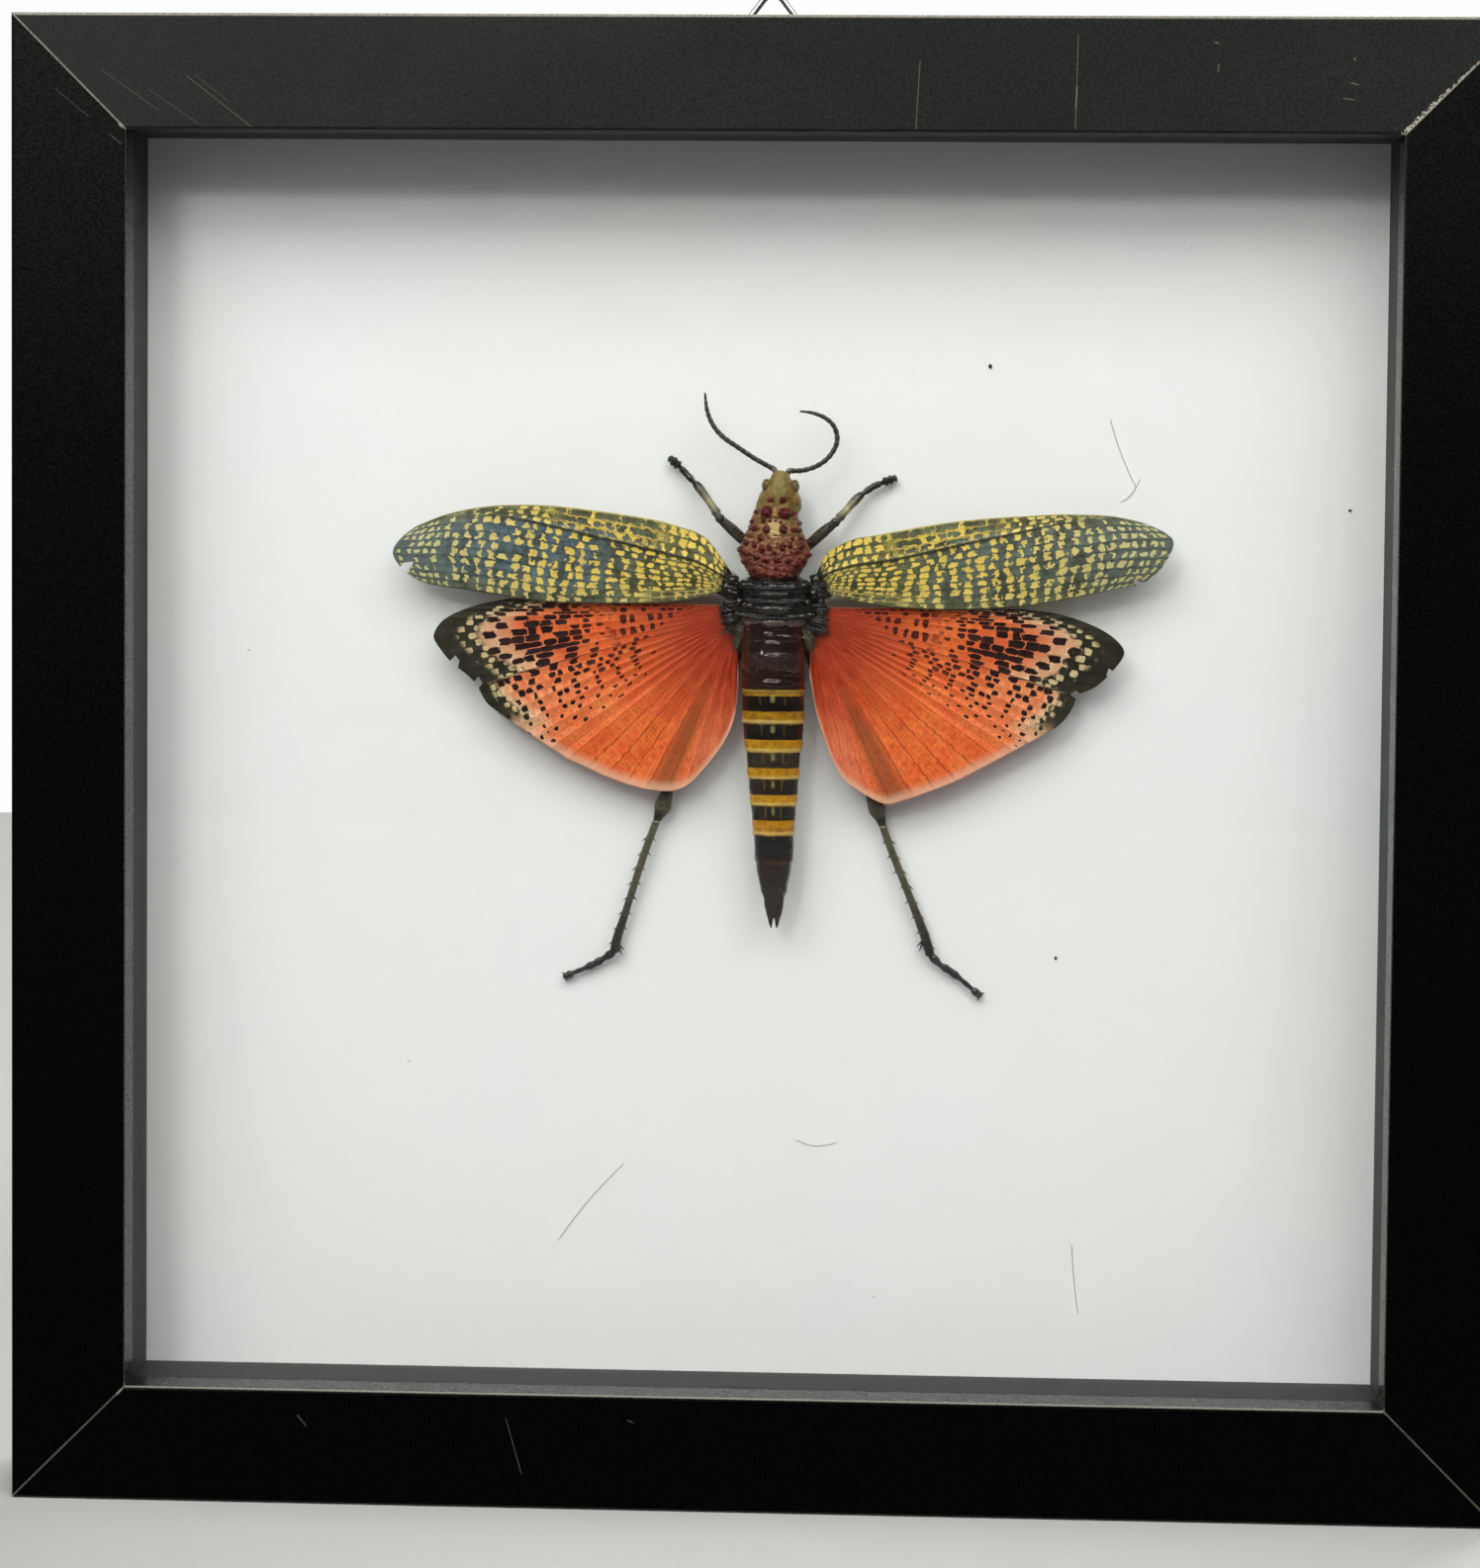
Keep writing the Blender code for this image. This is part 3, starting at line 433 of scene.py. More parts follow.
# The top rail, and the upper side rails more faintly, are painted lighter and mottled: a painted sheen for
# the light from above.
painted_sheen = recipe.most(top_rail, recipe.fade(up, 50.0, 110.0, 0.0, 0.17))
painted_sheen = recipe.times(painted_sheen, recipe.fade(recipe.noise(place, 0.03), 0.35, 0.65, 0.65, 1.0))
painted_sheen = recipe.times(painted_sheen, recipe.fade(up, 0.0, 60.0))
dark = recipe.mix(painted_sheen, dark, recipe.mix(speckle, (0.0085, 0.0095, 0.0085), (0.019, 0.0205, 0.018)))
colour = recipe.mix(marks, dark, tint(190, 185, 170))
colour = recipe.mix(pale, colour, tint(226, 218, 200))
roughness = recipe.minus(recipe.fade(grain, 0.35, 0.65, 0.36, 0.48),
                         recipe.fade(top_rail, 1.0, 0.0, 0.0, 0.15))
height = recipe.plus(grain, recipe.times(pale, 0.5))
surface = recipe.shell(colour, roughness, recipe.bump(height, 0.03), Specular_IOR_Level=0.4)
recipe.finish(surface)
for side in RAIL_SIDES:
    dress("rail_" + side, BLACK_FOIL)
print("four rails wrapped in", BLACK_FOIL.name)

# %% [markdown]
# ## Board, card, glass and fibreboard
#
# The board is white paper on a stiff core, so it gets paper fibre too fine to see as more
# than softness, and rare specks. The strips that hold the glass off it are black card. The
# glass is plain: full transmission, and shadow rays pass straight through it, so that the
# lamps light the board. The back is brown fibreboard, a felt of short fibres.

# %% Board, card, glass and fibreboard
WHITE_PAPER, recipe = new_finish("white_paper")
place = recipe.in_mm()
fibre = recipe.effect("fine_grain", place, Scale=3.5)
slow = recipe.noise(place, 0.02)
paper = recipe.mix(recipe.fade(fibre, 0.35, 0.65), tint(222, 222, 221), tint(230, 230, 229))
paper = recipe.mix(recipe.fade(slow, 0.35, 0.65), paper, tint(226, 226, 227))
specks = recipe.effect("dust_specks", place, Spacing=14.0, Size=0.14, Share=0.25)
paper = recipe.wash(paper, specks, 0.35, tint(150, 140, 125))
recipe.finish(recipe.shell(paper, 0.82, recipe.bump(fibre, 0.012), Specular_IOR_Level=0.3))

BLACK_CARD, recipe = new_finish("black_card")
place = recipe.in_mm()
grain = recipe.effect("fine_grain", place, Scale=3.0)
dust = recipe.effect("dust_specks", place, Spacing=2.4, Size=0.12, Share=0.3)
card = recipe.mix(recipe.fade(grain, 0.35, 0.65), tint(24, 26, 24), tint(38, 40, 37))
card = recipe.wash(card, dust, 0.3, tint(200, 200, 190))
recipe.finish(recipe.shell(card, recipe.fade(grain, 0.3, 0.7, 0.55, 0.75), recipe.bump(grain, 0.03)))

WINDOW_GLASS, recipe = new_finish("window_glass")
glass = recipe.add("BsdfPrincipled").node
for socket, value in (("Base Color", (0.985, 0.993, 0.99, 1.0)), ("Roughness", 0.0), ("IOR", 1.5),
                      ("Metallic", 0.0), ("Transmission Weight", 1.0)):
    glass.inputs[socket].default_value = value
passing = recipe.add("BsdfTransparent", {"Color": (0.97, 0.985, 0.98, 1.0)})
for_shadow = recipe.add("LightPath").node.outputs["Is Shadow Ray"]
recipe.finish(recipe.add("MixShader", {0: for_shadow, 1: glass.outputs[0], 2: passing}))

BROWN_BOARD, recipe = new_finish("brown_fibreboard")
place = recipe.in_mm()
x, y, z = recipe.split(place)
felt = recipe.noise(recipe.join(recipe.times(x, 0.5), y, z), 1.6, 5.0, 0.7)
fibres = recipe.effect("fine_grain", place, Scale=1.4)
brown = recipe.ramp(felt, [(0.3, tint(92, 62, 40)), (0.5, tint(131, 94, 62)), (0.72, tint(166, 128, 90))])
brown = recipe.mix(recipe.fade(fibres, 0.56, 0.7), brown, tint(78, 52, 34))
recipe.finish(recipe.shell(brown, recipe.fade(felt, 0.3, 0.7, 0.7, 0.9), recipe.bump(felt, 0.08)))

# %% [markdown]
# ## Steel and glue
#
# The hanger, its ring, the screw and the glazing points are zinc-plated steel: a bright metal
# with faint brushing and dull spots. The dab of glue under the insect is a milky clear lump.

# %% Steel, glue, and which node wears what
PLATED_STEEL, recipe = new_finish("plated_steel")
place = recipe.in_mm()
x, y, z = recipe.split(place)
brushed = recipe.noise(recipe.join(recipe.times(x, 0.25), y, recipe.times(z, 3.0)), 2.0, 3.0)
dull = recipe.effect("shell_mottle", place, Scale=0.5)
steel = recipe.wash(tint(205, 206, 204), dull, 0.35, tint(150, 146, 136))
shine = recipe.plus(recipe.fade(brushed, 0.3, 0.7, 0.2, 0.34), recipe.times(dull, 0.12))
recipe.finish(recipe.shell(steel, shine, recipe.bump(brushed, 0.01), Metallic=1.0))

GLUE_DAB, recipe = new_finish("glue_dab")
place = recipe.in_mm()
cloudy = recipe.effect("shell_mottle", place, Scale=0.9)
milk = recipe.mix(cloudy, tint(225, 220, 205), tint(202, 192, 165))
recipe.finish(recipe.shell(milk, recipe.fade(cloudy, 0.0, 1.0, 0.25, 0.4), recipe.bump(cloudy, 0.05)))

WORN_BY = [
    (WHITE_PAPER, ["display_board"]), (WINDOW_GLASS, ["glass_pane"]), (BROWN_BOARD, ["back_panel"]),
    (BLACK_CARD, ["spacer_" + side for side in RAIL_SIDES]), (GLUE_DAB, ["glue_pad"]),
    (PLATED_STEEL, ["hanger_strap", "hanger_screw", "hanging_ring"]),
    (PLATED_STEEL, ["tab_" + side + "_" + end for side in RAIL_SIDES for end in "ab"]),
]
for finish, node_names in WORN_BY:
    for node_name in node_names:
        dress(node_name, finish)
print("finishes on", sum(len(names) for _, names in WORN_BY), "nodes of the frame")

# %% [markdown]
# ## The floor
#
# The frame stands on its lower rail, so a floor goes right under it. It is plain and pale, is
# no part of the object, and sends little light back up: only the camera sees its full
# brightness, and the glass and the rails don't mirror it.

# %% Lay the floor
floor_shape = bmesh.new()
bmesh.ops.create_grid(floor_shape, x_segments=1, y_segments=1, size=1.2)
floor_mesh = bpy.data.meshes.new("floor")
floor_shape.to_mesh(floor_mesh)
floor_shape.free()
floor = bpy.data.objects.new("floor", floor_mesh)
floor.location.z = -0.0002
floor.visible_glossy = False
bpy.context.scene.collection.objects.link(floor)
pale_floor, recipe = new_finish("pale_floor")
cloud = recipe.noise(recipe.in_mm(), 0.01)
seen = recipe.add("LightPath").node.outputs["Is Camera Ray"]
bright = recipe.mix(cloud, (0.72, 0.72, 0.71), (0.78, 0.78, 0.77))
recipe.finish(recipe.shell(recipe.mix(seen, (0.28, 0.28, 0.28), bright), 0.8))
floor_mesh.materials.append(pale_floor)
print("floor", floor.dimensions.x, "m wide")

# %% [markdown]
# ## Working on the insect
#
# The insect's places are written as millimetres from the middle of the board: to the right,
# up, and off the board. Smooth lines through a few measured points give edges and routes.
# Most pieces are grids of points, worked out all at once as arrays: that is quick, and each
# point can carry numbers that its finish reads, such as how far along the wing it lies.


# %% Points, lines and grids
def spot(x, z, height):
    """Metres in the model's frame, from millimetres right of, above and off the board's middle."""
    x, z, height = np.broadcast_arrays(x, z, height)
    return np.stack([x * MM, BOARD_Y - height * MM, MIDDLE_Z + z * MM], axis=-1)


def smooth_line(points, count):
    """Even steps along a smooth curve through points; other columns are carried along."""
    points = np.array(points, float)
    padded = np.vstack([points[:1], points, points[-1:]])
    a, b, c, d = padded[:-3], padded[1:-2], padded[2:-1], padded[3:]
    steps = []
    for t in np.arange(16) / 16:
        bend = (2 * a - 5 * b + 4 * c - d) * t ** 2 + (3 * b - a - 3 * c + d) * t ** 3
        steps.append((2 * b + (c - a) * t + bend) / 2)
    dense = np.vstack([np.stack(steps, axis=1).reshape(-1, points.shape[1]), points[-1:]])
    along = np.concatenate([[0], np.cumsum(np.linalg.norm(np.diff(dense[:, :2], axis=0), axis=1))])
    wanted = np.linspace(0, along[-1], count)
    return np.stack([np.interp(wanted, along, column) for column in dense.T], axis=1)


def fade(value, start, end):
    """0 before start, 1 after end, and a smooth step between; start may be above end."""
    share = np.clip((np.asarray(value, float) - start) / (end - start), 0, 1)
    return share * share * (3 - 2 * share)


def ripple(x, z, size, seed):
    """A smooth, repeatable unevenness from -1 to 1, with hills about this many mm apart."""
    random = np.random.default_rng(seed)
    total = np.zeros(np.broadcast(x, z).shape)
    for _ in range(7):
        angle, phase, pace = random.uniform(0, math.pi), random.uniform(0, 7), random.uniform(0.6, 1.5)
        turn = 2 * math.pi * pace / size
        total = total + np.sin(turn * (x * math.cos(angle) + z * math.sin(angle)) + phase)
    return np.clip(total / 3.2, -1, 1)


def grid_faces(rows, columns, round_about=False):
    """Four-sided faces over a grid of points, closed round its columns if asked."""
    index = np.arange(rows * columns).reshape(rows, columns)
    after = np.roll(index, -1, axis=1)
    if not round_about:
        index, after = index[:, :-1], after[:, :-1]
    return np.stack([index[:-1], after[:-1], after[1:], index[1:]], axis=-1).reshape(-1, 4)


def tube_faces(rings, sides):
    """Faces round a tube of rings; two more points, after the last ring, close its ends."""
    total = rings * sides
    ring, after = np.arange(sides), np.roll(np.arange(sides), -1)
    faces = grid_faces(rings, sides, True).tolist() + [[total, a, b] for a, b in zip(ring, after)]
    return faces + [[total + 1, total - sides + b, total - sides + a] for a, b in zip(ring, after)]


def add_piece(name, places, faces, finish, values=(), cells=None, closed=True):
    """One named piece of the insect from points and faces, riding on the frame."""
    mesh = bpy.data.meshes.new(name)
    mesh.from_pydata(np.asarray(places).reshape(-1, 3).tolist(), [], [list(face) for face in faces])
    for label, numbers in dict(values).items():
        layer = mesh.attributes.new(label, "FLOAT", "POINT")
        layer.data.foreach_set("value", np.asarray(numbers, np.float32).ravel())
    if cells is not None:
        corners = np.empty(len(mesh.loops), np.int32)
        mesh.loops.foreach_get("vertex_index", corners)
        layer = mesh.uv_layers.new(name="cells")
        layer.data.foreach_set("uv", cells.reshape(-1, 2)[corners].astype(np.float32).ravel())
    if closed:
        shape = bmesh.new()
        shape.from_mesh(mesh)
        bmesh.ops.recalc_face_normals(shape, faces=shape.faces)
        shape.to_mesh(mesh)
        shape.free()
    mesh.shade_smooth()
    mesh.materials.append(finish)
    piece = bpy.data.objects.new(name, mesh)
    bpy.context.scene.collection.objects.link(piece)
    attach(piece, "frame")
    return piece


print("grid tools ready")

# %% [markdown]
# ## The pattern of a wing
#
# A locust's wing is a net: long veins from root to tip with cross veins between them, and its
# colour is laid out in the cells of that net. So the pattern isn't painted. The mesh gives
# each point two numbers, its row between the long veins and its place along the row counted
# in cells, and one shared group turns them into a rounded spot in each cell, a random number
# for each cell and for each column, and the lines of the veins.

# %% The net of cells
recipe, taken, given = new_group(
    "wing_cells",
    [("Along", 0.0), ("Row", 0.0), ("Place", [0.0, 0.0, 0.0]), ("Seed", 0.0), ("Wobble", 0.3),
     ("Stagger", 0.3), ("Spot Length", 0.6), ("Spot Width", 0.8)],
    ["Spot", "Chance", "Parity", "Vein", "Cross Vein", "Tone"])
wave_x, wave_y, _ = recipe.split(recipe.noise(taken["Place"], 1.2, output=1))
bend_x = recipe.times(recipe.minus(wave_x, 0.5), taken["Wobble"])
bend_y = recipe.times(recipe.minus(wave_y, 0.5), recipe.times(taken["Wobble"], 0.5))
row = recipe.plus(taken["Row"], bend_y)
row_number = recipe.math("FLOOR", row)
shifted = recipe.add("TexWhiteNoise", {"W": row_number}, noise_dimensions="1D")
along = recipe.plus(recipe.plus(taken["Along"], bend_x), recipe.times(shifted, taken["Stagger"]))
cell_number = recipe.math("FLOOR", along)
identity = recipe.join(cell_number, row_number, taken["Seed"])
dice = recipe.add("TexWhiteNoise", {"Vector": identity}, noise_dimensions="3D").node
first, second, third = recipe.split(dice.outputs["Color"])
column = recipe.add("TexWhiteNoise", {"Vector": recipe.join(cell_number, taken["Seed"])},
                    noise_dimensions="3D")
off_middle = recipe.minus(recipe.math("FRACT", along), 0.5)
nudge = recipe.times(recipe.minus(first, 0.5), 0.22)
in_length = recipe.size_of(recipe.plus(off_middle, nudge))
in_width = recipe.size_of(recipe.minus(recipe.math("FRACT", row), 0.5))
half_length = recipe.times(taken["Spot Length"], recipe.math("MULTIPLY_ADD", second, 0.28, 0.36))
half_width = recipe.times(taken["Spot Width"], recipe.math("MULTIPLY_ADD", third, 0.16, 0.42))
far_length = recipe.math("POWER", recipe.math("DIVIDE", in_length, half_length), 3.4)
far_width = recipe.math("POWER", recipe.math("DIVIDE", in_width, half_width), 3.4)
recipe.put(given["Spot"], recipe.fade(recipe.plus(far_length, far_width), 1.25, 0.75))
recipe.put(given["Chance"], recipe.math("MULTIPLY_ADD", dice.outputs["Value"], 0.62,
                                        recipe.times(column, 0.38)))
halved = recipe.times(recipe.plus(cell_number, row_number), 0.5)
recipe.put(given["Parity"], recipe.times(recipe.math("FRACT", halved), 2.0))
recipe.put(given["Vein"], recipe.fade(in_width, 0.44, 0.48))
recipe.put(given["Cross Vein"], recipe.fade(recipe.size_of(off_middle), 0.455, 0.485))
recipe.put(given["Tone"], third)
print("the net has", len(recipe.tree.nodes), "nodes")

# %% [markdown]
# ## The forewings
#
# The long narrow forewings are leathery: slate blue in the middle, olive at the edges, with
# yellow spots between the veins. Each is a patch between its two long edges and its tip. The
# front veins crowd towards the leading edge before the tip, so how far across each row runs
# changes along the wing. The veins are raised a little, and the sheet has a thickness.


# %% Forewing shape
BOTH_SIDES = ("left", "right")
FOREWING_ROWS = 12
FRONT_ROWS = 3
STEPS_PER_ROW = 4
FOREWING_STATIONS = 190
FOREWING_HEIGHT = 5.8
FOREWING_THICK = 0.14 * MM
FOREWINGS = {
    "left": {
        "leading": [(-4.7, 32.4), (-9, 38.2), (-13.5, 40.2), (-20.3, 41.8), (-34, 43.5), (-42, 43.7),
                    (-48.4, 43.1), (-54.2, 41.7), (-58.8, 39.8)],
        "trailing": [(-4.7, 29.9), (-8.4, 28.8), (-12, 28), (-16.6, 27.4), (-22.4, 27.1), (-36, 27.2),
                     (-47.4, 28.8), (-56.5, 30.1), (-59.8, 31.6)],
        "tip": [(-58.8, 39.8), (-61.3, 37.8), (-62.6, 35.5), (-61.5, 33.2), (-59.8, 31.6)],
        "torn": [(-61.9, 32.5), (-60.6, 33.75), (-59.0, 33.9), (-59.5, 33.0), (-60.0, 31.9)],
        "blue": 1.0,
        "crowd": 0.66,
    },
    "right": {
        "leading": [(9.7, 32.4), (11.4, 36), (15.5, 38.3), (20, 39.2), (33.4, 41.6), (46.8, 42.7),
                    (53.5, 42.9), (59.8, 42.6), (64.7, 41.6)],
        "trailing": [(9.7, 29.9), (12, 28.9), (20, 27.3), (26.8, 26.7), (33.6, 26.6), (40.3, 26.9),
                     (47, 27.6), (58.2, 29.9), (64.2, 31.2)],
        "tip": [(64.7, 41.6), (68.3, 40.1), (69.9, 38.2), (68.2, 34.4), (65.6, 31.9), (64.2, 31.2)],
        "torn": [(63.3, 31.9), (64.0, 30.6), (66.2, 31.9), (64.6, 31.7)],
        "blue": 0.55,
        "crowd": 0.76,
    },
}
print("forewing:", FOREWING_ROWS, "rows,", FOREWING_ROWS * STEPS_PER_ROW + 1, "lines of points")

# %% [markdown]
# Each wing has lost a bit of its margin, and the notch needs clean edges. Faces near it are
# split along every side of the notch first, and those that then lie inside it are dropped.


# %% Torn notches
def inside(outline, x, z):
    """Which points lie inside a closed outline, by counting the sides crossed to the right."""
    found = np.zeros(x.shape, bool)
    for (x0, z0), (x1, z1) in zip(outline, outline[1:] + outline[:1]):
        if z0 != z1:
            crosses = (z < z0) != (z < z1)
            found ^= crosses & (x < (x1 - x0) * (z - z0) / (z1 - z0) + x0)
    return found


def cut_out(piece, outline):
    """Cuts a notch with clean edges out of a flat wing."""
    corners = [Vector(spot(x, z, 0.0)) for x, z in outline]
    centre = sum(corners, Vector()) / len(corners)
    reach = max((corner - centre).length for corner in corners) + 1.5 * MM
    shape = bmesh.new()
    shape.from_mesh(piece.data)
    for start, end in zip(corners, corners[1:] + corners[:1]):
        across = (end - start).cross(Vector((0, 1, 0))).normalized()
        offs = [(face, face.calc_center_median() - centre) for face in shape.faces]
        faces = [face for face, off in offs if math.hypot(off.x, off.z) < reach]
        nearby = set(faces)
        for face in faces:
            nearby.update(face.edges)
            nearby.update(face.verts)
        bmesh.ops.bisect_plane(shape, geom=list(nearby), dist=1e-7, plane_co=start, plane_no=across)
    middles = [face.calc_center_median() for face in shape.faces]
    x = np.array([middle.x for middle in middles]) / MM
    z = (np.array([middle.z for middle in middles]) - MIDDLE_Z) / MM
    gone = [face for face, lost in zip(list(shape.faces), inside(outline, x, z)) if lost]
    bmesh.ops.delete(shape, geom=gone, context="FACES")
    shape.to_mesh(piece.data)
    shape.free()


print("notches can be cut")


# %% Forewing mesh
def counted_along(lengths, table):
    """How many cells lie before each point of a line, from a table of cell length by share."""
    share = lengths / lengths[-1]
    shares, sizes = zip(*table)
    pitch = np.interp(share, shares, sizes)
    return np.concatenate([[0], np.cumsum(np.diff(lengths) / ((pitch[1:] + pitch[:-1]) / 2))])


def make_sheet(piece, thick, kind, side):
    """Gives a wing's flat net of faces its thickness, and the plain wing's place."""
    thickness = piece.modifiers.new("thickness", "SOLIDIFY")
    thickness.thickness = thick
    thickness.offset = 0
    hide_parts(kind + "_" + side)
    return piece


def make_forewing(side, finish):
    """The patch between a wing's two long edges and its tip, with the numbers for its finish."""
    wing = FOREWINGS[side]
    lead = smooth_line(wing["leading"], FOREWING_STATIONS)
    trail = smooth_line(wing["trailing"], FOREWING_STATIONS)
    span = np.linspace(0, 1, FOREWING_STATIONS)
    rows = np.linspace(0, FOREWING_ROWS, FOREWING_ROWS * STEPS_PER_ROW + 1)
    front = np.interp(span, (0, 0.25, 0.42, 0.6, 0.75, 0.88, 1), (0.46, 0.37, 0.29, 0.2, 0.11, 0.05, 0.04))
    front = front[:, None]
    across = np.where(rows[None] <= FRONT_ROWS, front * rows / FRONT_ROWS,
                      front + (1 - front) * (rows - FRONT_ROWS) / (FOREWING_ROWS - FRONT_ROWS))
    tip_line = smooth_line(wing["tip"], 60)
    tip = np.stack([np.interp(across[-1], np.linspace(0, 1, 60), column) for column in tip_line.T], axis=1)
    straight = lead[-1] + (trail[-1] - lead[-1]) * across[-1][:, None]
    flat = lead[:, None] + (trail - lead)[:, None] * across[..., None]
    flat = flat + span[:, None, None] ** 5 * (tip - straight)[None]
    x, z = flat[..., 0], flat[..., 1]
    width = np.linalg.norm(lead - trail, axis=1)[:, None]
    off_vein = np.abs(rows - np.round(rows))[None]
    ridge = 0.09 * fade(off_vein, 0.3, 0.0)
    ridge = ridge + 0.22 * fade(np.abs(rows - FRONT_ROWS)[None], 0.6, 0) * fade(span, 0.9, 0.5)[:, None]
    camber = 0.55 * np.sin(math.pi * across) * np.minimum(1, width / 6)
    droop = 0.5 * fade(span, 0.8, 1.0)[:, None]
    height = FOREWING_HEIGHT + camber + ridge + 0.18 * ripple(x, z, 16, 3) - droop
    lengths = np.concatenate([[0], np.cumsum(np.linalg.norm(np.diff((lead + trail) / 2, axis=0), axis=1))])
    counted = counted_along(lengths, [(0, 0.95), (0.1, 1.5), (0.25, 2.0), (0.5, 2.15), (0.78, 2.05),
                                      (0.88, 1.4), (1, 1.0)])
    along = counted[:, None] + 0.22 * rows[None] * fade(span, 0.55, 0.1)[:, None]
    cells = np.stack(np.broadcast_arrays(along, rows[None]), axis=-1)
    s, r = np.broadcast_arrays(span[:, None], rows[None])
    values = {
        "span": s,
        "across": across,
        "blue": (wing["blue"] * fade(s, 0.22, 0.5) * fade(across, 0.03, 0.25)
                 * (0.35 + 0.65 * fade(across, 0.98, 0.7))),
        "crowd": wing["crowd"] + 0.1 * fade(s, 0.8, 0.95),
        "network": np.maximum(fade(s, 0.2, 0.34) * fade(s, 0.66, 0.5) * fade(r, 3.0, 2.4),
                              fade(s, 0.36, 0.16) * fade(r, 9.0, 10.4)),
        "tip": fade(s, 0.78, 0.92),
        "root": fade(s, 0.055, 0.02),
    }
    piece = add_piece("locust_forewing_" + side, spot(x, z, height), grid_faces(*x.shape), finish, values,
                      cells, closed=False)
    cut_out(piece, wing["torn"])
    return make_sheet(piece, FOREWING_THICK, "forewing", side)


print("forewing sheet", FOREWING_THICK / MM, "mm thick")

# %% [markdown]
# The finish asks the shared net twice: once for the yellow spots, and once, with larger spots
# taken away instead of added, for the lace of yellow lines near the root and the front edge.
# The numbers that the mesh carries say where each kind belongs.

# %% Spots and lace of the forewing
SPOTTED_WING, recipe = new_finish("spotted_wing")
along, row, _ = recipe.split(recipe.add("UVMap", uv_map="cells"))
place = recipe.in_mm()
span, across = recipe.value_of("span"), recipe.value_of("across")
towards_tip, network = recipe.value_of("tip"), recipe.value_of("network")
base = recipe.fade(span, 0.42, 0.12)
spot_length = recipe.plus(recipe.fade(base, 0.0, 1.0, 0.46, 0.64), recipe.times(towards_tip, 0.04))
spot_width = recipe.minus(recipe.fade(base, 0.0, 1.0, 0.84, 0.76), recipe.times(towards_tip, 0.2))
net = recipe.group("wing_cells", Along=along, Row=row, Place=place, Seed=3.0, Wobble=1.25, Stagger=0.4,
                   Spot_Length=spot_length, Spot_Width=spot_width).outputs
open_patches = recipe.fade(recipe.noise(place, 0.16, 1.0), 0.56, 0.4, -0.12, 0.14)
likely = recipe.plus(recipe.math("MULTIPLY_ADD", base, 0.3, recipe.value_of("crowd")), open_patches)
lit = recipe.math("LESS_THAN", net["Chance"], likely)
yellow_spots = recipe.times(net["Spot"], lit)
meshwork = recipe.group("wing_cells", Along=along, Row=row, Place=place,
                        Seed=8.0, Wobble=1.3, Spot_Length=0.88, Spot_Width=0.8).outputs
lace = recipe.times(recipe.minus(1.0, meshwork["Spot"]), network)
clear_of_lace = recipe.times(yellow_spots, recipe.fade(network, 0.7, 0.2))
yellow_share = recipe.most(clear_of_lace, lace)
print("spots and lace use", len(recipe.tree.nodes), "nodes")

# %% Forewing colours
cloud = recipe.effect("shell_mottle", place, Scale=0.35)
olive = recipe.mix(cloud, tint(66, 66, 40), tint(110, 112, 76))
slate = recipe.mix(cloud, tint(52, 72, 92), tint(100, 116, 120))
blue = recipe.times(recipe.value_of("blue"), recipe.fade(cloud, -0.3, 0.7))
ground = recipe.mix(blue, olive, slate)
ground = recipe.wash(ground, towards_tip, 0.55, tint(100, 110, 102))
pale = recipe.most(recipe.times(recipe.fade(span, 0.5, 0.95), 0.8),
                   recipe.times(recipe.fade(across, 0.72, 1.0), 0.5))
yellow = recipe.mix(pale, tint(240, 210, 96), tint(204, 202, 152))
yellow = recipe.wash(yellow, net["Tone"], 0.35, tint(176, 154, 68))
colour = recipe.mix(yellow_share, ground, yellow)
fine_net = recipe.fade(recipe.noise(recipe.join(recipe.times(along, 3.0), recipe.times(row, 2.0)), 2.0, 2.0),
                       0.55, 0.7)
colour = recipe.mix(recipe.times(fine_net, recipe.math("MULTIPLY_ADD", towards_tip, 0.3, 0.1)), colour,
                    tint(140, 146, 122))
veins = recipe.times(net["Vein"], 0.62)
colour = recipe.mix(veins, colour, tint(34, 32, 22))
main_vein = recipe.fade(recipe.size_of(recipe.minus(row, float(FRONT_ROWS))), 0.3, 0.1)
main_vein = recipe.times(main_vein, recipe.fade(span, 0.85, 0.6))
colour = recipe.wash(colour, main_vein, 0.75, tint(40, 37, 24))
edge = recipe.fade(across, 0.022, 0.008)
colour = recipe.wash(colour, edge, 0.7, tint(170, 158, 92))
rear_edge = recipe.fade(across, 0.975, 0.99)
colour = recipe.wash(colour, rear_edge, 0.8, tint(70, 66, 44))
colour = recipe.mix(recipe.value_of("root"), colour, tint(18, 17, 13))
roughness = recipe.fade(yellow_share, 0.0, 1.0, 0.42, 0.55)
height = recipe.plus(recipe.times(net["Vein"], 0.7), recipe.times(cloud, 0.3))
body = recipe.shell(colour, roughness, recipe.bump(height, 0.05), Specular_IOR_Level=0.25)
through = recipe.add("BsdfTranslucent", {"Color": colour})
recipe.finish(recipe.add("MixShader", {0: 0.12, 1: body, 2: through}))

for wing in [make_forewing(side, SPOTTED_WING) for side in BOTH_SIDES]:
    print(wing.name, len(wing.data.vertices), "points")

# %% [markdown]
# ## The hindwings
#
# The hindwings are thin pleated fans. Fourteen rows run to the tip in front of a fold that ends
# in a notch of the margin, and more rows spread behind it. Every row folds the other way from
# its neighbour. The front rows carry black-brown bricks on salmon, turning to cream spots on
# black at the tip; the rows behind carry small dark squares that fade into plain red.


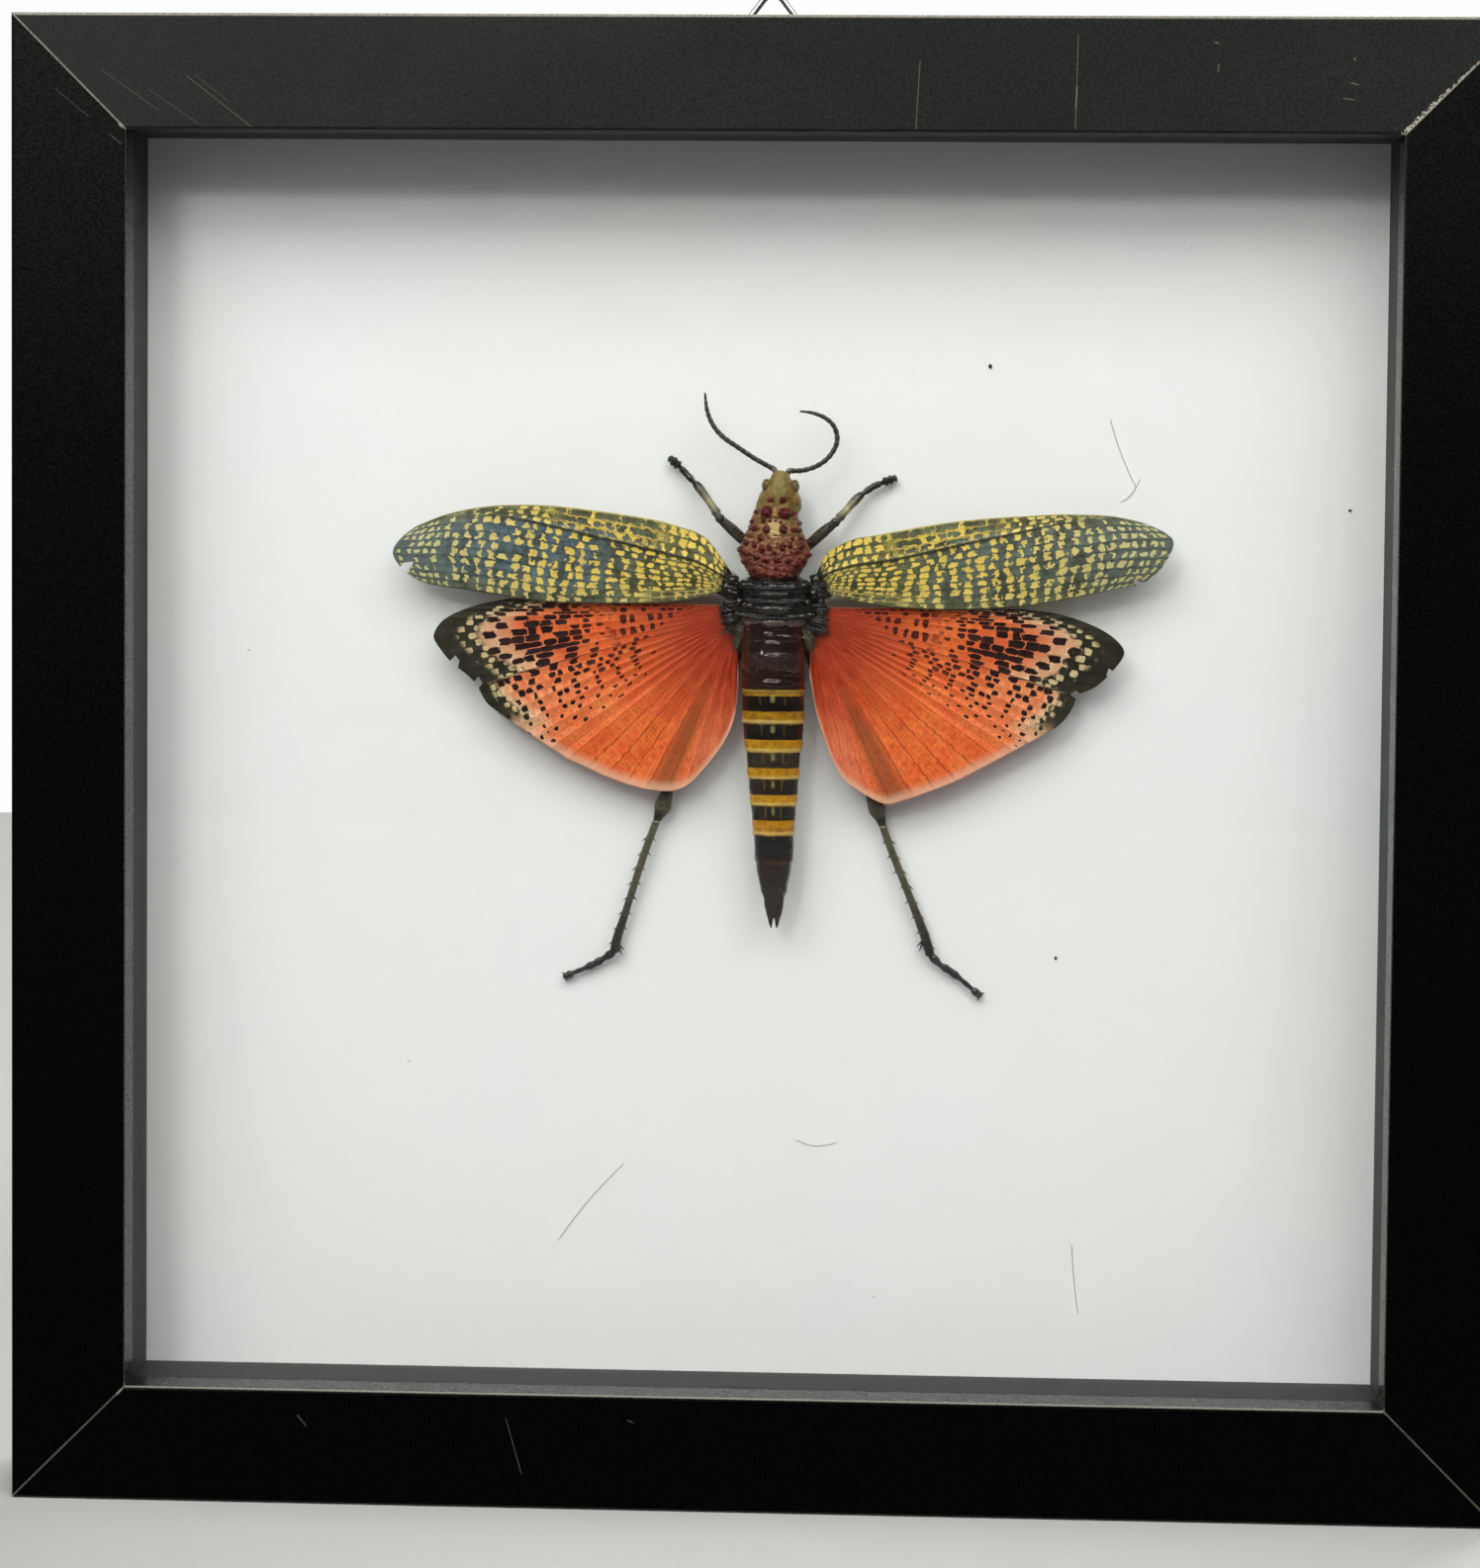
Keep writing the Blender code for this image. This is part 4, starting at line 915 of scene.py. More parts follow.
# %% Hindwing shape
FRONT_FAN, MIDDLE_FAN, REAR_FAN = 14, 12, 12
FAN_ROWS = FRONT_FAN + MIDDLE_FAN + REAR_FAN
THIGH_ROW = 30.7  # the row over the hind thigh; its shade through the wing is painted brown
STEPS_PER_PLEAT = 4
RAY_STATIONS = 150
HINDWING_HEIGHT = 4.8
HINDWING_THICK = 0.1 * MM
HINDWINGS = {
    "left": {
        "roots": [(-5.4, 26.9), (-3.8, 22.6)],
        "front": [(-42.8, 27.7), (-47, 26.9), (-51, 25.6), (-54.2, 23.8), (-55.6, 21.6), (-55.2, 19.9),
                  (-52.5, 16.6), (-50.2, 14.9), (-48.2, 13)],
        "middle": [(-48.2, 13), (-46.6, 10), (-44.4, 8.2), (-40.9, 5.8), (-32.6, 0.4)],
        "rear": [(-32.6, 0.4), (-23.7, -3.4), (-16.6, -4.9), (-12.6, -4.2), (-9.5, -1.3), (-6, 3.4),
                 (-4.1, 8), (-3.5, 15)],
        "torn": [[(-53.6, 16.2), (-51.9, 17.9), (-51.2, 17.0), (-51.6, 15.2)],
                 [(-49.4, 12.6), (-47.9, 14.4), (-47.2, 13.2), (-48.2, 12.0)]],
    },
    "right": {
        "roots": [(10.4, 26.7), (8.7, 22.4)],
        "front": [(44.8, 26.8), (50.4, 26.1), (55.2, 24.7), (59, 22.9), (61.4, 20.8), (61.8, 19.1),
                  (60, 16.5), (57.2, 13.8), (53.9, 12.3)],
        "middle": [(53.9, 12.3), (53.4, 10.4), (51.7, 7.8), (48.8, 5.7), (41, 1.3)],
        "rear": [(41, 1.3), (32.8, -3), (24.6, -6.1), (21.9, -6.7), (18.2, -5), (14, -1.7), (10.4, 6.9),
                 (8.6, 15)],
        "torn": [[(60.6, 16.2), (59.3, 16.9), (58.9, 15.7), (59.8, 15.0)],
                 [(54.9, 12.2), (53.8, 13.1), (52.9, 12.4), (54.2, 11.4)]],
    },
}


print("hindwing:", FAN_ROWS, "rows of", STEPS_PER_PLEAT, "steps")


# %% Hindwing mesh
def make_hindwing(side, finish):
    """The pleated fan from the roots to the margin, with the numbers for its finish."""
    wing = HINDWINGS[side]
    margins = []
    for part, count in (("front", FRONT_FAN), ("middle", MIDDLE_FAN), ("rear", REAR_FAN)):
        line = smooth_line(wing[part], count * STEPS_PER_PLEAT + 1)
        margins.append(line if part == "rear" else line[:-1])
    margin = np.vstack(margins)
    rows = np.linspace(0, FAN_ROWS, len(margin))
    root = np.array(wing["roots"][0]) + np.outer(rows / FAN_ROWS,
                                                 np.subtract(wing["roots"][1], wing["roots"][0]))
    share = np.linspace(0, 1, RAY_STATIONS)[:, None]
    flat = root[None] + (margin - root)[None] * share[..., None]
    x, z = flat[..., 0], flat[..., 1]
    reach = np.linalg.norm(margin - root, axis=1)[None] * share
    left = np.linalg.norm(margin - root, axis=1)[None] * (1 - share)
    fold = np.abs((rows % 2) - 1)[None] - 0.5
    scale = np.interp(rows, (0, FRONT_FAN, FRONT_FAN + 3, FAN_ROWS), (0.12, 0.15, 0.22, 0.4))[None]
    height = HINDWING_HEIGHT + fold * scale * fade(share, 0.0, 0.5) + 0.3 * ripple(x, z, 21, 5) * share
    height = height + 0.05 * fade(np.abs(rows - np.round(rows))[None], 0.2, 0)
    front = rows[None] <= FRONT_FAN
    pitch = np.where(front, np.interp(reach, (0, 12, 22, 30, 40, 52), (1.5, 1.6, 1.8, 2.5, 2.5, 1.9)),
                     np.interp(reach, (0, 15, 26, 40), (1.7, 1.7, 1.9, 1.5)))
    step = np.diff(reach, axis=0)
    along = np.vstack([np.zeros((1, len(rows))), np.cumsum(step / ((pitch[1:] + pitch[:-1]) / 2), axis=0)])
    cells = np.stack(np.broadcast_arrays(along, rows[None]), axis=-1)
    r = np.broadcast_to(rows[None], reach.shape)
    behind = np.clip((r - FRONT_FAN) / MIDDLE_FAN, 0, 2)
    dark_front = 0.6 * fade(reach, 2.0 + 0.75 * r, 3.5 + 0.9 * r) * fade(r, 0.8, 2.0)
    dark_front = np.maximum(dark_front, 0.62 * fade(reach, 27, 34))
    dark_behind = 0.56 * fade(reach, 13, 20) * fade(behind, 1.0, 0.6)
    values = {
        "reach": reach,
        "behind": behind,
        "dark": np.where(front, dark_front, dark_behind) + 0.16 * fade(left, 9, 5) * front,
        "tip": np.where(front, fade(left, 8.6, 6.4), fade(left, 3.6, 2.6) * fade(behind, 0.6, 0.3)),
        "cream": np.where(front, fade(left, 15, 9), fade(left, 6, 3) * fade(behind, 0.8, 0.4)),
        "margin": np.where(front, fade(left, 5.0, 3.4), fade(left, 2.4, 1.4)),
        "rim": fade(left, 2.4, 0.4) * fade(behind, 0.3, 0.7),
        "pale": fade(left, 22, 7) * np.where(front, 1.0, fade(behind, 1.2, 0.2)),
    }
    piece = add_piece("locust_hindwing_" + side, spot(x, z, height), grid_faces(*x.shape), finish, values,
                      cells, closed=False)
    for outline in wing["torn"]:
        cut_out(piece, outline)
    return make_sheet(piece, HINDWING_THICK, "hindwing", side)


print("hindwing sheet", HINDWING_THICK / MM, "mm thick")

# %% [markdown]
# The finish has three layers. Dark cells come from the shared net, in larger cells near the
# root. Under them lies the red ground, from a deep root to a pale margin, with its streaks, veins
# and the fold, and a brown streak of painted shade where the hind thigh lies under the wing. The
# black tip goes on last, with a finer net for its cream cells.

# %% Dark cells of the hindwing
RED_WING, recipe = new_finish("red_wing")
along, row, _ = recipe.split(recipe.add("UVMap", uv_map="cells"))
place = recipe.in_mm()
reach, behind = recipe.value_of("reach"), recipe.value_of("behind")
tip, cream = recipe.value_of("tip"), recipe.value_of("cream")
far = recipe.fade(reach, 20.0, 30.0)
rearward = recipe.fade(behind, 0.0, 0.12)
spot_length = recipe.mix(rearward, recipe.fade(far, 0.0, 1.0, 0.5, 1.0),
                         recipe.fade(behind, 0.1, 0.9, 0.66, 0.34))
spot_width = recipe.mix(rearward, recipe.fade(far, 0.0, 1.0, 0.64, 0.98),
                        recipe.fade(behind, 0.1, 0.9, 0.8, 0.44))
net = recipe.group("wing_cells", Along=along, Row=row, Place=place, Seed=21.0, Wobble=0.7, Stagger=1.0,
                   Spot_Length=spot_length, Spot_Width=spot_width).outputs
dice = recipe.math("MULTIPLY_ADD", net["Chance"], 0.55, recipe.times(net["Parity"], 0.42))
lit = recipe.math("LESS_THAN", dice, recipe.value_of("dark"))
dark_spots = recipe.times(net["Spot"], lit)
near_base = recipe.times(recipe.fade(reach, 23.0, 18.0), recipe.fade(behind, 0.02, 0.0))
dark_spots = recipe.times(dark_spots, recipe.minus(1.0, near_base))
base_net = recipe.group("wing_cells", Along=along, Row=recipe.times(row, 0.32), Place=place, Seed=5.0,
                        Wobble=0.5, Stagger=1.0, Spot_Length=0.6, Spot_Width=0.66).outputs
base_lit = recipe.times(recipe.math("LESS_THAN", base_net["Chance"], 0.72), near_base)
base_lit = recipe.times(base_lit, recipe.math("GREATER_THAN", recipe.value_of("dark"), 0.3))
dark_spots = recipe.most(dark_spots, recipe.times(base_net["Spot"], base_lit))
print("dark cells use", len(recipe.tree.nodes), "nodes")

# %% Red ground of the hindwing
fibres = recipe.noise(recipe.join(recipe.times(along, 0.35), recipe.times(row, 5.0)), 1.6, 4.0, 0.6)
cloud = recipe.effect("shell_mottle", place, Scale=0.3)
red = recipe.mix(cloud, tint(240, 100, 42), tint(248, 128, 58))
deep = recipe.mix(recipe.fade(fibres, 0.34, 0.66), tint(132, 30, 8), tint(204, 66, 24))
near_root = recipe.fade(reach, 26.0, 5.0)
red = recipe.mix(near_root, red, deep)
salmon = recipe.mix(cloud, tint(246, 144, 88), tint(252, 176, 122))
red = recipe.wash(red, recipe.value_of("pale"), 0.75, salmon)
red = recipe.wash(red, cream, 0.85, tint(240, 214, 170))
streaks = recipe.times(recipe.fade(fibres, 0.5, 0.7), 0.2)
red = recipe.mix(streaks, red, tint(246, 162, 126))
costal = recipe.times(recipe.fade(row, 1.9, 0.6), recipe.fade(reach, 44.0, 26.0))
red = recipe.wash(red, costal, 0.75, tint(158, 72, 34))
vein_colour = recipe.mix(recipe.fade(behind, 0.0, 0.2), tint(214, 120, 84), tint(140, 40, 20))
red = recipe.wash(red, net["Vein"], 0.62, vein_colour)
red = recipe.mix(recipe.times(net["Cross Vein"], recipe.fade(behind, 0.0, 0.4, 0.2, 0.34)), red,
                 tint(160, 56, 32))
ring = recipe.times(net["Spot"], recipe.minus(1.0, lit))
red = recipe.mix(recipe.times(ring, recipe.fade(reach, 8.0, 26.0, 0.0, 0.34)), red, tint(190, 70, 40))
fold_line = recipe.fade(recipe.size_of(recipe.minus(row, float(FRONT_FAN))), 0.16, 0.04)
red = recipe.wash(red, fold_line, 0.8, tint(92, 26, 14))
# A brown streak on the row over the hind thigh is its painted shade, seen through the wing.
thigh_shade = recipe.times(recipe.fade(recipe.size_of(recipe.minus(row, THIGH_ROW)), 0.95, 0.2),
                         recipe.fade(reach, 8.0, 20.0))
behind_thigh_row = recipe.times(recipe.fade(row, 31.0, 32.5), recipe.fade(reach, 10.0, 24.0))
red = recipe.wash(red, behind_thigh_row, 0.4, tint(226, 140, 116))
red = recipe.mix(recipe.times(thigh_shade, recipe.fade(fibres, 0.3, 0.6, 0.35, 0.7)), red, tint(112, 70, 42))
streak_share = recipe.times(recipe.fade(fibres, 0.5, 0.36), recipe.fade(behind, 0.9, 1.3))
red = recipe.wash(red, streak_share, 0.4, tint(150, 44, 22))
red = recipe.wash(red, recipe.value_of("rim"), 0.75, tint(236, 190, 158))
print("with the red ground", len(recipe.tree.nodes), "nodes")

# %% Black tip of the hindwing
maroon = recipe.mix(far, tint(84, 24, 12), tint(40, 12, 12))
colour = recipe.mix(dark_spots, red, maroon)
black_tip = recipe.mix(cloud, tint(34, 31, 20), tint(56, 52, 34))
small_net = recipe.group("wing_cells", Along=recipe.times(along, 1.5), Row=recipe.times(row, 1.25),
                         Place=place, Seed=31.0, Wobble=0.6, Stagger=1.0, Spot_Length=0.8,
                         Spot_Width=0.84).outputs
small_dice = recipe.math("MULTIPLY_ADD", small_net["Chance"], 0.55, recipe.times(small_net["Parity"], 0.42))
cream_cells = recipe.times(small_net["Spot"], recipe.math("GREATER_THAN", small_dice, 0.42))
cream_cells = recipe.times(cream_cells, recipe.minus(1.0, recipe.value_of("margin")))
tip_colour = recipe.mix(cream_cells, black_tip, tint(216, 194, 146))
colour = recipe.mix(tip, colour, tip_colour)
colour = recipe.mix(recipe.fade(reach, 2.6, 0.4), colour, tint(24, 18, 14))
roughness = recipe.fade(dark_spots, 0.0, 1.0, 0.5, 0.62)
height = recipe.plus(recipe.times(net["Vein"], 0.6), recipe.times(fibres, 0.5))
body = recipe.shell(colour, roughness, recipe.bump(height, 0.05), Specular_IOR_Level=0.22)
through = recipe.add("BsdfTranslucent", {"Color": colour})
recipe.finish(recipe.add("MixShader", {0: 0.2, 1: body, 2: through}))

for wing in [make_hindwing(side, RED_WING) for side in BOTH_SIDES]:
    print(wing.name, len(wing.data.vertices), "points")

# %% [markdown]
# ## The body
#
# Head, pronotum, thorax and abdomen are skins stretched over oval stations, like a boat's
# hull. Each skin gets its own relief: warts on the pronotum, wrinkles on the thorax, and
# overlapping rings down the abdomen. Moving the points outwards makes the relief real, so it
# catches the light from any side, and a number left on each point tells the finish where a
# wart or a ring is.


# %% Skins over stations
BODY_MIDDLE = 2.5
BODY_HEIGHT = 5.4


def make_skin(name, stations, rings, sides, relief, finish, replaced, square=2.0):
    """A closed skin over (z, middle, half width, half thickness, height) stations.

    relief(x, z, turn) gives how far each point moves out, in mm, and the numbers for the finish.
    """
    line = smooth_line(stations, rings)
    turn = np.linspace(0, 2 * math.pi, sides, endpoint=False)[None]
    z, middle, wide, thick, height = (column[:, None] for column in line.T)
    cos, sin = np.cos(turn), np.sin(turn)
    round_x = np.sign(cos) * np.abs(cos) ** (2 / square)
    round_y = np.sign(sin) * np.abs(sin) ** (2 / square)
    x, off = middle + wide * round_x, height + thick * round_y
    out_x, out_off = cos / wide, sin / thick
    size = np.hypot(out_x, out_off)
    grown, values = relief(x, np.broadcast_to(z, x.shape), np.broadcast_to(turn, x.shape))
    places = spot(x + grown * out_x / size, z, off + grown * out_off / size)
    ends = [places[0].mean(axis=0), places[-1].mean(axis=0)]
    places = np.vstack([places.reshape(-1, 3), ends])
    values = {label: np.append(np.ravel(numbers), [0, 0]) for label, numbers in values.items()}
    piece = add_piece(name, places, tube_faces(rings, sides), finish, values)
    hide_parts(replaced)
    return piece


def station_table(rows):
    """Fills in the body's own middle and height, which these stations don't give."""
    return [(z, BODY_MIDDLE, wide, thick, BODY_HEIGHT) for z, wide, thick in rows]


def dome(x, z, turn, table, sizes, tall):
    """Blunt domes at (x, z, half width, half length); gives their height and how near they are."""
    grown, nearest = np.zeros(x.shape), np.zeros(x.shape)
    upper = fade(np.sin(turn), -0.35, 0.0)
    for at_x, at_z, wide, long in table:
        far = np.sqrt(((x - at_x) / (wide * sizes)) ** 2 + ((z - at_z) / (long * sizes)) ** 2)
        shape = np.clip(1 - far ** 2, 0, 1) ** 0.75 * upper
        grown = np.maximum(grown, tall * min(wide, long) * shape)
        nearest = np.maximum(nearest, np.clip(1.25 - far, 0, 1) * upper)
    return grown, nearest


print("skins are", BODY_HEIGHT, "mm off the board in the middle")

# %% [markdown]
# ## Head
#
# The head is a blunt cone with round eyes set on its sides, a lighter wedge between them and
# two dark red spots behind. The shell is olive, dull and slightly pitted. The eyes are glossy
# brown with darker upright bands.

# %% Head and eyes
HEAD_STATIONS = [(42.3, 2.9, 3.4, 3.0, 5.2), (43.3, 3.0, 3.8, 3.3, 5.2), (44.6, 3.2, 3.8, 3.5, 5.2),
                 (46.2, 3.3, 3.25, 3.4, 5.35), (47.6, 3.35, 2.45, 3.0, 5.6), (48.8, 3.4, 1.7, 2.1, 6.0),
                 (49.6, 3.4, 1.1, 1.25, 6.3), (49.95, 3.4, 0.4, 0.5, 6.4)]
RED_SPOTS = [(1.95, 45.0, 0.56, 0.6), (3.87, 44.95, 0.58, 0.68)]
EYES = [(1.05, 47.35, 6.8), (5.85, 47.25, 6.8)]


def head_relief(x, z, turn):
    """Red spots, the wedge between the eyes and its keel."""
    grown, nearest = dome(x, z, turn, RED_SPOTS, 1.0, 0.5)
    top = fade(np.sin(turn), 0.2, 0.8)
    wedge_half = np.clip((z - 44.4) * 0.05 + 1.3 - np.abs(z - 46.6) * 0.28, 0.25, 2)
    wedge = fade(np.abs(x - 3.35), wedge_half + 0.25, wedge_half - 0.25) * top
    grown = grown + 0.28 * wedge * fade(z, 44.6, 46.0)
    keel = 0.12 * fade(np.abs(x - 3.3), 0.3, 0.0) * top
    grown = grown + keel + 0.07 * ripple(x, z, 1.3, 11)
    return grown, {"spots": fade(nearest, 0.12, 0.4), "wedge": wedge}


OLIVE_SHELL, recipe = new_finish("olive_shell")
place = recipe.in_mm()
mottle = recipe.effect("shell_mottle", place, Scale=0.8)
pits = recipe.noise(place, 5.0)
olive = recipe.ramp(mottle, [(0.0, tint(84, 64, 28)), (0.5, tint(116, 92, 46)), (1.0, tint(140, 118, 68))])
olive = recipe.wash(olive, recipe.value_of("wedge"), 0.6, tint(124, 110, 62))
spots = recipe.value_of("spots")
colour = recipe.mix(spots, olive, tint(84, 20, 16))
normal = recipe.bump(recipe.plus(pits, mottle), 0.05)
recipe.finish(recipe.shell(colour, recipe.fade(mottle, 0.0, 1.0, 0.34, 0.5), normal, Specular_IOR_Level=0.25))

head = make_skin("locust_head", HEAD_STATIONS, 90, 96, head_relief, OLIVE_SHELL, "head", 2.2)

EYE_GLOSS, recipe = new_finish("eye_gloss")
place = recipe.in_mm()
x, _, z = recipe.split(place)
bands = recipe.noise(recipe.join(recipe.times(x, 2.0), 0.0, recipe.times(z, 0.5)), 1.0, 1.0)
colour = recipe.ramp(bands, [(0.36, tint(62, 46, 24)), (0.52, tint(96, 74, 38)), (0.7, tint(120, 96, 52))])
recipe.finish(recipe.shell(colour, recipe.fade(bands, 0.3, 0.7, 0.12, 0.2), Specular_IOR_Level=0.6))


def make_ball(name, centre, radii, finish, rings=18, sides=28):
    """A smooth ball with its own three half sizes, in mm."""
    line = np.linspace(0.0, math.pi, rings)[1:-1, None]
    turn = np.linspace(0, 2 * math.pi, sides, endpoint=False)[None]
    x = centre[0] + radii[0] * np.sin(line) * np.cos(turn)
    height = centre[2] + radii[2] * np.sin(line) * np.sin(turn)
    z = centre[1] + radii[1] * np.cos(line) + 0 * turn
    poles = spot(centre[0], np.array([centre[1] + radii[1], centre[1] - radii[1]]), centre[2])
    places = np.vstack([spot(x, z, height).reshape(-1, 3), poles])
    return add_piece(name, places, tube_faces(rings - 2, sides), finish)


for side, (x, z, height) in zip(BOTH_SIDES, EYES):
    eye = make_ball("locust_eye_" + side, (x, z, height), (0.8, 1.16, 1.05), EYE_GLOSS)
print(head.name, len(head.data.vertices), "points, and two eyes")

# %% [markdown]
# ## Pronotum
#
# The saddle behind the head is covered in blunt warts, dark maroon on a paler pink and tan
# skin. The large ones follow the photograph; small ones are scattered between them by a
# seeded random, so that they fall in the same places on every run.

# %% Pronotum and its warts
PRONOTUM_STATIONS = station_table([
    (44.1, 2.6, 2.6), (43.8, 3.1, 3.1), (43.2, 3.5, 3.45), (42.2, 3.9, 3.75), (40.3, 4.5, 3.9),
    (38.6, 5.15, 4.0), (36.9, 5.85, 4.1), (35.9, 6.05, 4.1), (34.4, 5.55, 4.0), (33.0, 4.75, 3.9),
    (31.8, 3.9, 3.6), (31.2, 3.1, 3.2)])
WARTS = [
    (1.2, 43.0, 1.0, 0.95), (4.25, 42.75, 1.08, 0.95), (-0.5, 43.0, 0.45, 0.42), (5.6, 42.7, 0.5, 0.42),
    (0.65, 41.5, 0.32, 0.3), (1.8, 41.4, 0.28, 0.26), (2.75, 41.5, 0.24, 0.24), (3.6, 41.2, 0.3, 0.26),
    (1.25, 40.0, 0.6, 0.75), (4.0, 40.0, 0.66, 0.7), (-0.9, 40.2, 0.95, 0.5), (6.1, 39.9, 1.0, 0.45),
    (6.8, 41.1, 0.5, 0.45), (-1.35, 41.4, 0.5, 0.4), (0.3, 38.5, 0.5, 0.5), (-2.2, 37.8, 0.6, 0.55),
    (-0.8, 37.4, 0.5, 0.6), (0.5, 36.7, 0.52, 0.75), (1.65, 37.1, 0.42, 0.55), (3.95, 37.0, 0.46, 0.8),
    (5.2, 37.4, 0.4, 0.62), (7.0, 37.2, 0.6, 0.6), (-3.2, 36.5, 0.6, 0.6), (-2.1, 35.9, 0.7, 0.5),
    (-0.35, 35.3, 0.5, 0.45), (1.2, 34.8, 0.6, 0.5), (3.1, 34.8, 0.62, 0.5), (4.85, 34.7, 0.5, 0.45),
    (6.4, 33.9, 0.7, 0.6), (-2.45, 34.4, 0.62, 0.5), (8.2, 35.6, 0.55, 0.5), (0.0, 32.45, 0.5, 0.36),
    (1.2, 32.3, 0.45, 0.35), (2.5, 32.2, 0.5, 0.4), (4.5, 32.1, 0.45, 0.45), (5.8, 32.8, 0.5, 0.4),
    (-0.9, 33.0, 0.5, 0.36), (6.3, 36.1, 0.42, 0.42), (5.6, 38.5, 0.4, 0.36), (2.9, 33.4, 0.36, 0.3),
    (-1.5, 38.9, 0.42, 0.4), (6.9, 38.6, 0.5, 0.42), (2.6, 36.0, 0.3, 0.4), (7.6, 34.6, 0.42, 0.4)]
SMALL_WARTS = [(chance.uniform(-3.4, 8.4), chance.uniform(31.6, 39.5), *chance.uniform(0.16, 0.3, 2))
               for _ in range(110)]


def pronotum_relief(x, z, turn):
    """Warts, three creases across with painted shade in them, and a rough skin."""
    large, near_large = dome(x, z, turn, WARTS, 1.08, 0.95)
    small, near_small = dome(x, z, turn, SMALL_WARTS, 1.0, 0.9)
    crease = 0.22 * fade(np.abs(z - 41.95 + 0.1 * np.abs(x - 2.5)), 0.28, 0.0)
    crease = crease + 0.16 * fade(np.abs(z - 38.9), 0.22, 0.0) + 0.14 * fade(np.abs(z - 33.7), 0.2, 0.0)
    rough = 0.08 * ripple(x, z, 0.9, 17) + 0.06 * ripple(x, z, 0.45, 18)
    saddle = fade(np.hypot((x - 2.5) / 1.15, (z - 40.1) / 1.7), 1.15, 0.7)
    return np.maximum(large, small) - crease * 0.7 + rough, {
        "wart": np.maximum(fade(near_large, 0.16, 0.4), 0.75 * fade(near_small, 0.2, 0.5)),
        "saddle": saddle * np.clip(np.sin(turn) * 2, 0, 1),
        "crease_shade": fade(crease, 0.05, 0.18),
    }


WARTY_SHELL, recipe = new_finish("warty_shell")
place = recipe.in_mm()
_, _, z = recipe.split(place)
mottle = recipe.effect("shell_mottle", place, Scale=1.2)
pink = recipe.mix(mottle, tint(84, 36, 28), tint(136, 76, 58))
tan = recipe.mix(mottle, tint(100, 74, 38), tint(146, 116, 68))
forward = recipe.fade(z, MIDDLE_UP + 34.5, MIDDLE_UP + 39.5)
skin = recipe.wash(pink, forward, 0.7, tan)
skin = recipe.wash(skin, recipe.value_of("saddle"), 0.85, tint(184, 158, 108))
# The creases are darkened with painted shade.
skin = recipe.wash(skin, recipe.value_of("crease_shade"), 0.6, tint(70, 40, 32))
skin = recipe.mix(recipe.fade(z, MIDDLE_UP + 32.6, MIDDLE_UP + 31.4), skin, tint(60, 30, 26))
maroon = recipe.mix(mottle, tint(52, 6, 8), tint(86, 16, 14))
colour = recipe.mix(recipe.value_of("wart"), skin, maroon)
normal = recipe.bump(recipe.noise(place, 4.0, 3.0), 0.06)
recipe.finish(recipe.shell(colour, recipe.fade(mottle, 0.0, 1.0, 0.24, 0.42), normal,
                           Specular_IOR_Level=0.25))

pronotum = make_skin("locust_pronotum", PRONOTUM_STATIONS, 130, 200, pronotum_relief, WARTY_SHELL,
                     "pronotum")
print(pronotum.name, "has", len(WARTS) + len(SMALL_WARTS), "warts")

# %% [markdown]
# ## Thorax and wing joints
# Between pronotum and abdomen the body is black, wrinkled across and very shiny, with knobs
# where the wings are hinged. Ridges and a fine ripple make the wrinkles, so the highlights
# break up as they do on the real shell. The three smooth plates down the middle are painted a
# little greyer: a painted sheen for their gloss.

# %% Thorax
THORAX_STATIONS = station_table([
    (23.4, 5.1, 3.4), (24.15, 6.0, 3.6), (25.0, 6.9, 3.7), (25.9, 7.5, 3.8), (26.9, 7.3, 3.9),
    (27.8, 6.7, 3.9), (28.8, 6.5, 4.0), (29.8, 6.7, 4.0), (30.8, 6.3, 3.9), (31.5, 5.2, 3.5),
    (32.1, 4.0, 3.0)])
THORAX_RIDGES = [(31.0, 0.35, 0.3), (30.0, 0.4, 0.34), (27.6, 0.45, 0.36), (25.0, 0.4, 0.34)]
THORAX_PLATES = [(28.9, 0.55, 2.4, 0.4), (26.25, 0.95, 3.0, 0.62), (24.0, 0.7, 2.0, 0.45)]


def thorax_relief(x, z, turn):
    """Ridges across and three smooth plates down the middle, whose grey tone is a painted sheen."""
    bowed = z - 0.05 * (x - BODY_MIDDLE) ** 2 * 0.25
    grown = sum(tall * fade(np.abs(bowed - at), wide, 0.0) for at, wide, tall in THORAX_RIDGES)
    grown = grown + 0.1 * ripple(x, z, 1.9, 23) + 0.035 * ripple(x, z, 0.9, 24)
    plates = np.zeros(x.shape)
    for at, long, wide, tall in THORAX_PLATES:
        far = ((x - BODY_MIDDLE) / wide) ** 2 + ((z - at) / long) ** 2
        plates = np.maximum(plates, tall * np.sqrt(np.clip(1 - far, 0, 1)))
    plates = plates * fade(np.sin(turn), 0.0, 0.4)
    # The plates get a little tone: a painted grey sheen for their gloss.
    return grown * fade(plates, 0.3, 0.0) + plates, {"tone": 0.12 * fade(plates, 0.1, 0.5),
                                                     "ends": fade(z, 25.0, 24.0)}


BLACK_SHELL, recipe = new_finish("black_shell")
place = recipe.in_mm()
mottle = recipe.effect("shell_mottle", place, Scale=1.1)
pits = recipe.noise(place, 2.4, 1.5)
tone = recipe.value_of("tone")
black = recipe.mix(mottle, tint(4, 4, 3), tint(15, 13, 10))
